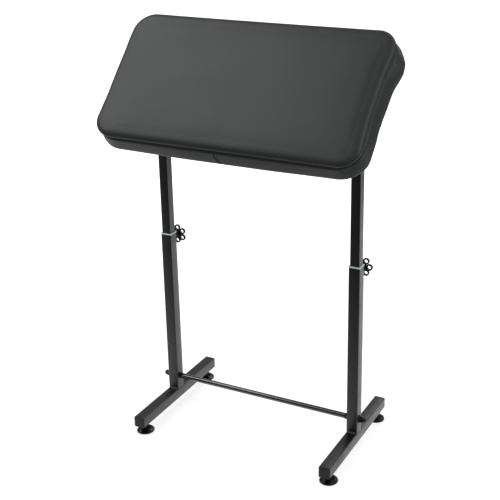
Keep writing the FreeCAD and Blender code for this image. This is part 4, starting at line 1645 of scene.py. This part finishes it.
    def stitches(self, surface: BVHTree, place: Matrix) -> None:
        """A row of short stitches along the band between the two creases.

        Args:
            surface: the cover, in the pad's frame.
            place: the matrix from the pad's frame to the stand's.
        """
        band = Course(self.row(*self.PROFILE[self.BAND_ROW]))
        number = round(band.length / self.stitch_pitch)
        radius, thin = self.stitch_radius, self.stitch_end_share
        shell = Shell()
        for stitch in range(number):
            rows = []
            for share in (0, 0.25, 0.5, 0.75, 1):
                run = band.length * stitch / number + self.stitch_length * share
                point, _ = band.at(run)
                spot, normal, _, _ = surface.find_nearest(point)
                if normal.dot(Vector((point.x, point.y, 0))) < 0:
                    normal = -normal
                ahead = (band.at(run + 0.5)[0] - band.at(run - 0.5)[0]).normalized()
                side = normal.cross(ahead).normalized()
                arch = math.sin(math.pi * share)
                centre = spot + normal * (radius * (arch - thin))
                thick = radius * (thin + (1 - thin) * arch)
                rows.append([
                    centre + (normal * math.cos(turn) + side * math.sin(turn)) * thick
                    for turn in (FULL_TURN * k / 6 for k in range(6))])
            shell.skin(rows)
        piece("seam_stitches", shell, STITCH, place=place, crease_deg=80.0, body="pad")

    def cloth_row(self, inset: float, lift: float) -> Row:
        """A line round the dust cloth.

        Args:
            inset: how far from its edge.
            lift: how far over its lowest line.

        Returns:
            The line's points.
        """
        half_x, half_y = self.width / 2 - self.cloth_inset - inset, self.depth / 2 - self.cloth_inset - inset
        return rounded_row(
            half_x, half_y, self.cloth_corner - inset, self.cloth_height + lift, self.cloth_steps)

    def underside(self, place: Matrix) -> None:
        """The dust cloth stapled under the board, with its folded edge.

        Args:
            place: the matrix from the pad's frame to the stand's.
        """
        rows = [self.cloth_row(inset, lift) for inset, lift in self.FOLD]
        shell = Shell().skin(rows, Closing.OPEN)
        shell.faces.append(tuple(range(len(shell.points) - len(rows[-1]), len(shell.points))))
        cloth = piece("dust_cloth", shell, DUST_CLOTH, ["pad_dust_cover"], place, 40.0)
        self.staples(place)

    def staples(self, place: Matrix) -> None:
        """Wire staples round the dust cloth's edge.

        Args:
            place: the matrix from the pad's frame to the stand's.
        """
        course = Course(self.cloth_row(self.staple_inset, 0))
        number = round(course.length / self.staple_pitch)
        shell = Shell()
        for staple in range(number):
            spot, ahead = course.at(course.length * (staple + 0.5) / number)
            tilt = noise.noise(Vector((staple * 3.7, 1.3, 0))) * self.staple_tilt
            direction = (ahead + UP.cross(ahead) * tilt).normalized()
            across = UP.cross(direction) * self.wire_half_width
            rows = []
            for reach, height in self.WIRE:
                leg = direction * -math.copysign(1, reach)
                thick = (UP if abs(reach) < self.wire_bend else leg) * self.wire_half_height
                centre = spot + direction * reach + UP * height
                rows.append([centre + across * a + thick * b for a, b in QUARTERS])
            shell.skin(rows)
        piece("dust_cloth_staples", shell, STAPLE, place=place, body="pad")


def refined(data: Mesh) -> Mesh:
    """Subdivides a mesh once, smoothly.

    Args:
        data: the mesh, which is used up.

    Returns:
        The finer mesh.
    """
    holder = placed(data.name, data)
    holder.modifiers.new("smooth", "SUBSURF").levels = 1
    finer = evaluated(holder)
    bpy.data.objects.remove(holder)
    bpy.data.meshes.remove(data)
    return finer


@dataclass
class CarriedParts:
    """The model's own parts that stay, each with the finish of the real one."""

    finishes: tuple[Finish, ...] = (
        POWDER, BLACK_ZINC, BRIGHT_ZINC, KNOB_NYLON, PLUG_PLASTIC, MINT_NYLON, NATURAL_NYLON, FOOT_PLASTIC,
        BIRCH, DUST_CLOTH, VINYL)

    def build(self) -> None:
        """Dresses every node that no piece replaces."""
        by_slot = {finish.slot: finish for finish in self.finishes}
        by_slot["foam"] = VINYL
        slots = {entry["node"]: entry["material_slot"] for entry in frame["record"]["subparts"]}
        for node, thing in frame["nodes"].items():
            by_slot[slots[node]].dress(thing)
            LOG.info("%s keeps its solid, in %s", node, slots[node])


@dataclass
class Studio:
    """Floor, light and camera; places in metres."""

    camera_place: tuple[float, float, float] = (0.934214, -1.740238, 1.225017)
    yaw: float = 0.45
    pitch: float = 0.3428
    roll: float = -0.0051
    focal_px: float = 993.45
    centre_px: tuple[float, float] = (297.15, 210.06)
    picture_px: float = 500.0
    sensor_mm: float = 36.0
    floor_reach_mm: float = 6000.0
    floor_colour: tuple[float, float, float, float] = (0.8, 0.8, 0.8, 1)
    floor_lift: float = 0.6
    lift_span: tuple[float, float] = (0.5, 1.6)
    pool_slant: float = 0.25
    pool_front: tuple[float, float] = (-0.98, 0.4)
    pool_rear: tuple[float, float] = (0.6, 2.5)
    horizon_span: tuple[float, float] = (-0.5, 0.6)
    front_dimness: float = 0.08
    backdrop: float = 0.3
    ambient: float = 0.45

    def build(self) -> None:
        """Sets up the whole studio."""
        self.camera()
        self.floor()
        self.world()
        self.lamp("overhead_softbox", (-1.35, -0.55, 2.4), (0.0, -0.05, 0.75), 1.6, 21.0)
        self.lamp("right_softbox", (1.5, -0.3, 2.0), (0.1, 0.0, 0.7), 1.6, 11.0)
        self.lamp("rear_softbox", (0.2, 2.0, 2.0), (0.0, 0.0, 0.5), 1.4, 10.0)
        bpy.context.scene.view_settings.view_transform = "Standard"

    def camera(self) -> None:
        """The camera at the photograph's place, angle and framing."""
        ahead = Vector((-math.sin(self.yaw), math.cos(self.yaw), 0))
        right = Vector((math.cos(self.yaw), math.sin(self.yaw), 0))
        view = ahead * math.cos(self.pitch) - UP * math.sin(self.pitch)
        up = ahead * math.sin(self.pitch) + UP * math.cos(self.pitch)
        right_rolled = right * math.cos(self.roll) + up * math.sin(self.roll)
        up_rolled = up * math.cos(self.roll) - right * math.sin(self.roll)
        data = bpy.data.cameras.new("camera")
        data.sensor_width = self.sensor_mm
        data.lens = self.focal_px * self.sensor_mm / self.picture_px
        data.shift_x = (self.picture_px / 2 - self.centre_px[0]) / self.picture_px
        data.shift_y = (self.centre_px[1] - self.picture_px / 2) / self.picture_px
        holder = placed("camera", data)
        axes = Matrix((right_rolled, up_rolled, -view)).transposed()
        holder.matrix_world = Matrix.Translation(self.camera_place) @ axes.to_4x4()
        bpy.context.scene.camera = holder

    def rays(self, tree: Tree) -> list[Socket]:
        """What a ray that meets the floor or the world is for.

        Args:
            tree: the floor's or the world's nodes.

        Returns:
            Whether a mirror sent it, and whether it comes from the camera or through something clear.
        """
        path = add_node(tree, "LightPath")
        straight = add_node(tree, "Math", {
            0: path.outputs["Is Camera Ray"], 1: path.outputs["Is Transmission Ray"]}, operation="MAXIMUM")
        return [path.outputs["Is Glossy Ray"], straight.outputs[0]]

    def floor(self) -> None:
        """A pale floor that keeps the stand's shadow and runs out into white.

        In mirrors it is a pool of light behind the stand that dims towards the front and far back.
        """
        corners = [Vector((sx, sy, 0)) * self.floor_reach_mm for sx, sy in QUARTERS]
        holder = placed("floor", Shell(corners, [(0, 1, 2, 3)]).mesh("floor"))
        made = bpy.data.materials.new("white studio floor")
        tree = emptied(made)
        mirrored, straight = self.rays(tree)
        place = add_node(tree, "NewGeometry").outputs["Position"]
        paint = add_node(tree, "BsdfDiffuse", {"Color": self.floor_colour})
        away = add_node(tree, "VectorMath", {0: place}, operation="LENGTH")
        lift = add_node(tree, "MapRange", {
            "Value": away.outputs["Value"], "From Min": self.lift_span[0], "From Max": self.lift_span[1],
            "To Min": self.floor_lift, "To Max": 1.0})
        glow = add_node(tree, "Emission", {"Color": (1, 1, 1, 1), "Strength": lift.outputs[0]})
        seen = add_node(tree, "AddShader", {0: paint.outputs[0], 1: glow.outputs[0]})
        depth = add_node(tree, "VectorMath", {0: place, 1: (-self.pool_slant, 1, 0)},
                         operation="DOT_PRODUCT").outputs["Value"]
        front, rear = (
            add_node(tree, "MapRange", {
                "Value": depth, "From Min": start, "From Max": end, "To Min": first, "To Max": last},
                interpolation_type="SMOOTHSTEP").outputs[0]
            for (start, end), first, last in (
                (self.pool_front, self.front_dimness, 1.0), (self.pool_rear, 1.0, self.front_dimness)))
        pool = add_node(tree, "Math", {0: front, 1: rear}, operation="MULTIPLY")
        shine = add_node(tree, "Emission", {"Color": (1, 1, 1, 1), "Strength": pool.outputs[0]})
        bounced = add_node(tree, "MixShader", {
            "Fac": mirrored, 1: paint.outputs[0], 2: shine.outputs[0]})
        mixed = add_node(tree, "MixShader", {
            "Fac": straight, 1: bounced.outputs[0], 2: seen.outputs[0]})
        add_node(tree, "OutputMaterial", {"Surface": mixed.outputs[0]})
        holder.data.materials.append(made)

    def world(self) -> None:
        """White behind the stand; mirrors see it fade to a dim studio in front."""
        made = bpy.data.worlds.new("studio")
        bpy.context.scene.world = made
        tree = emptied(made)
        mirrored, straight = self.rays(tree)
        way = add_node(tree, "SeparateXYZ", {
            0: add_node(tree, "TexCoord").outputs["Generated"]})
        behind = add_node(tree, "MapRange", {
            "Value": way.outputs["Y"], "From Min": self.horizon_span[0], "From Max": self.horizon_span[1],
            "To Min": self.front_dimness, "To Max": self.backdrop})
        lit = add_node(tree, "MixRGB", {
            "Fac": mirrored, "Color1": (*(self.ambient,) * 3, 1), "Color2": behind.outputs[0]})
        strength = add_node(tree, "MixRGB", {
            "Fac": straight, "Color1": lit.outputs[0], "Color2": (1, 1, 1, 1)})
        glow = add_node(tree, "Background", {"Color": strength.outputs[0], "Strength": 1.0})
        add_node(tree, "OutputWorld", {"Surface": glow.outputs[0]})

    def lamp(self, name: str, place: Place, target: Place, size: float, power: float) -> None:
        """A soft square lamp.

        Args:
            name: its name.
            place: where it stands.
            target: what it is aimed at.
            size: its width and height.
            power: its watts.
        """
        data = bpy.data.lights.new(name, "AREA")
        data.shape = "RECTANGLE"
        data.size = data.size_y = size
        data.energy = power
        aim = (Vector(target) - Vector(place)).to_track_quat("-Z", "Y")
        placed(name, data).matrix_world = Matrix.Translation(place) @ aim.to_matrix().to_4x4()


def main() -> None:
    """Builds the stand and its studio, and reports each piece."""
    logging.basicConfig(level=logging.INFO, format="%(message)s")
    CarriedParts().build()
    FloorFrame().build()
    SlidingPosts().build()
    HeightClamps().build()
    LevellingFeet().build()
    TiltClamps().build()
    Cushion().build()
    Studio().build()


if __name__ == "__main__":
    main()
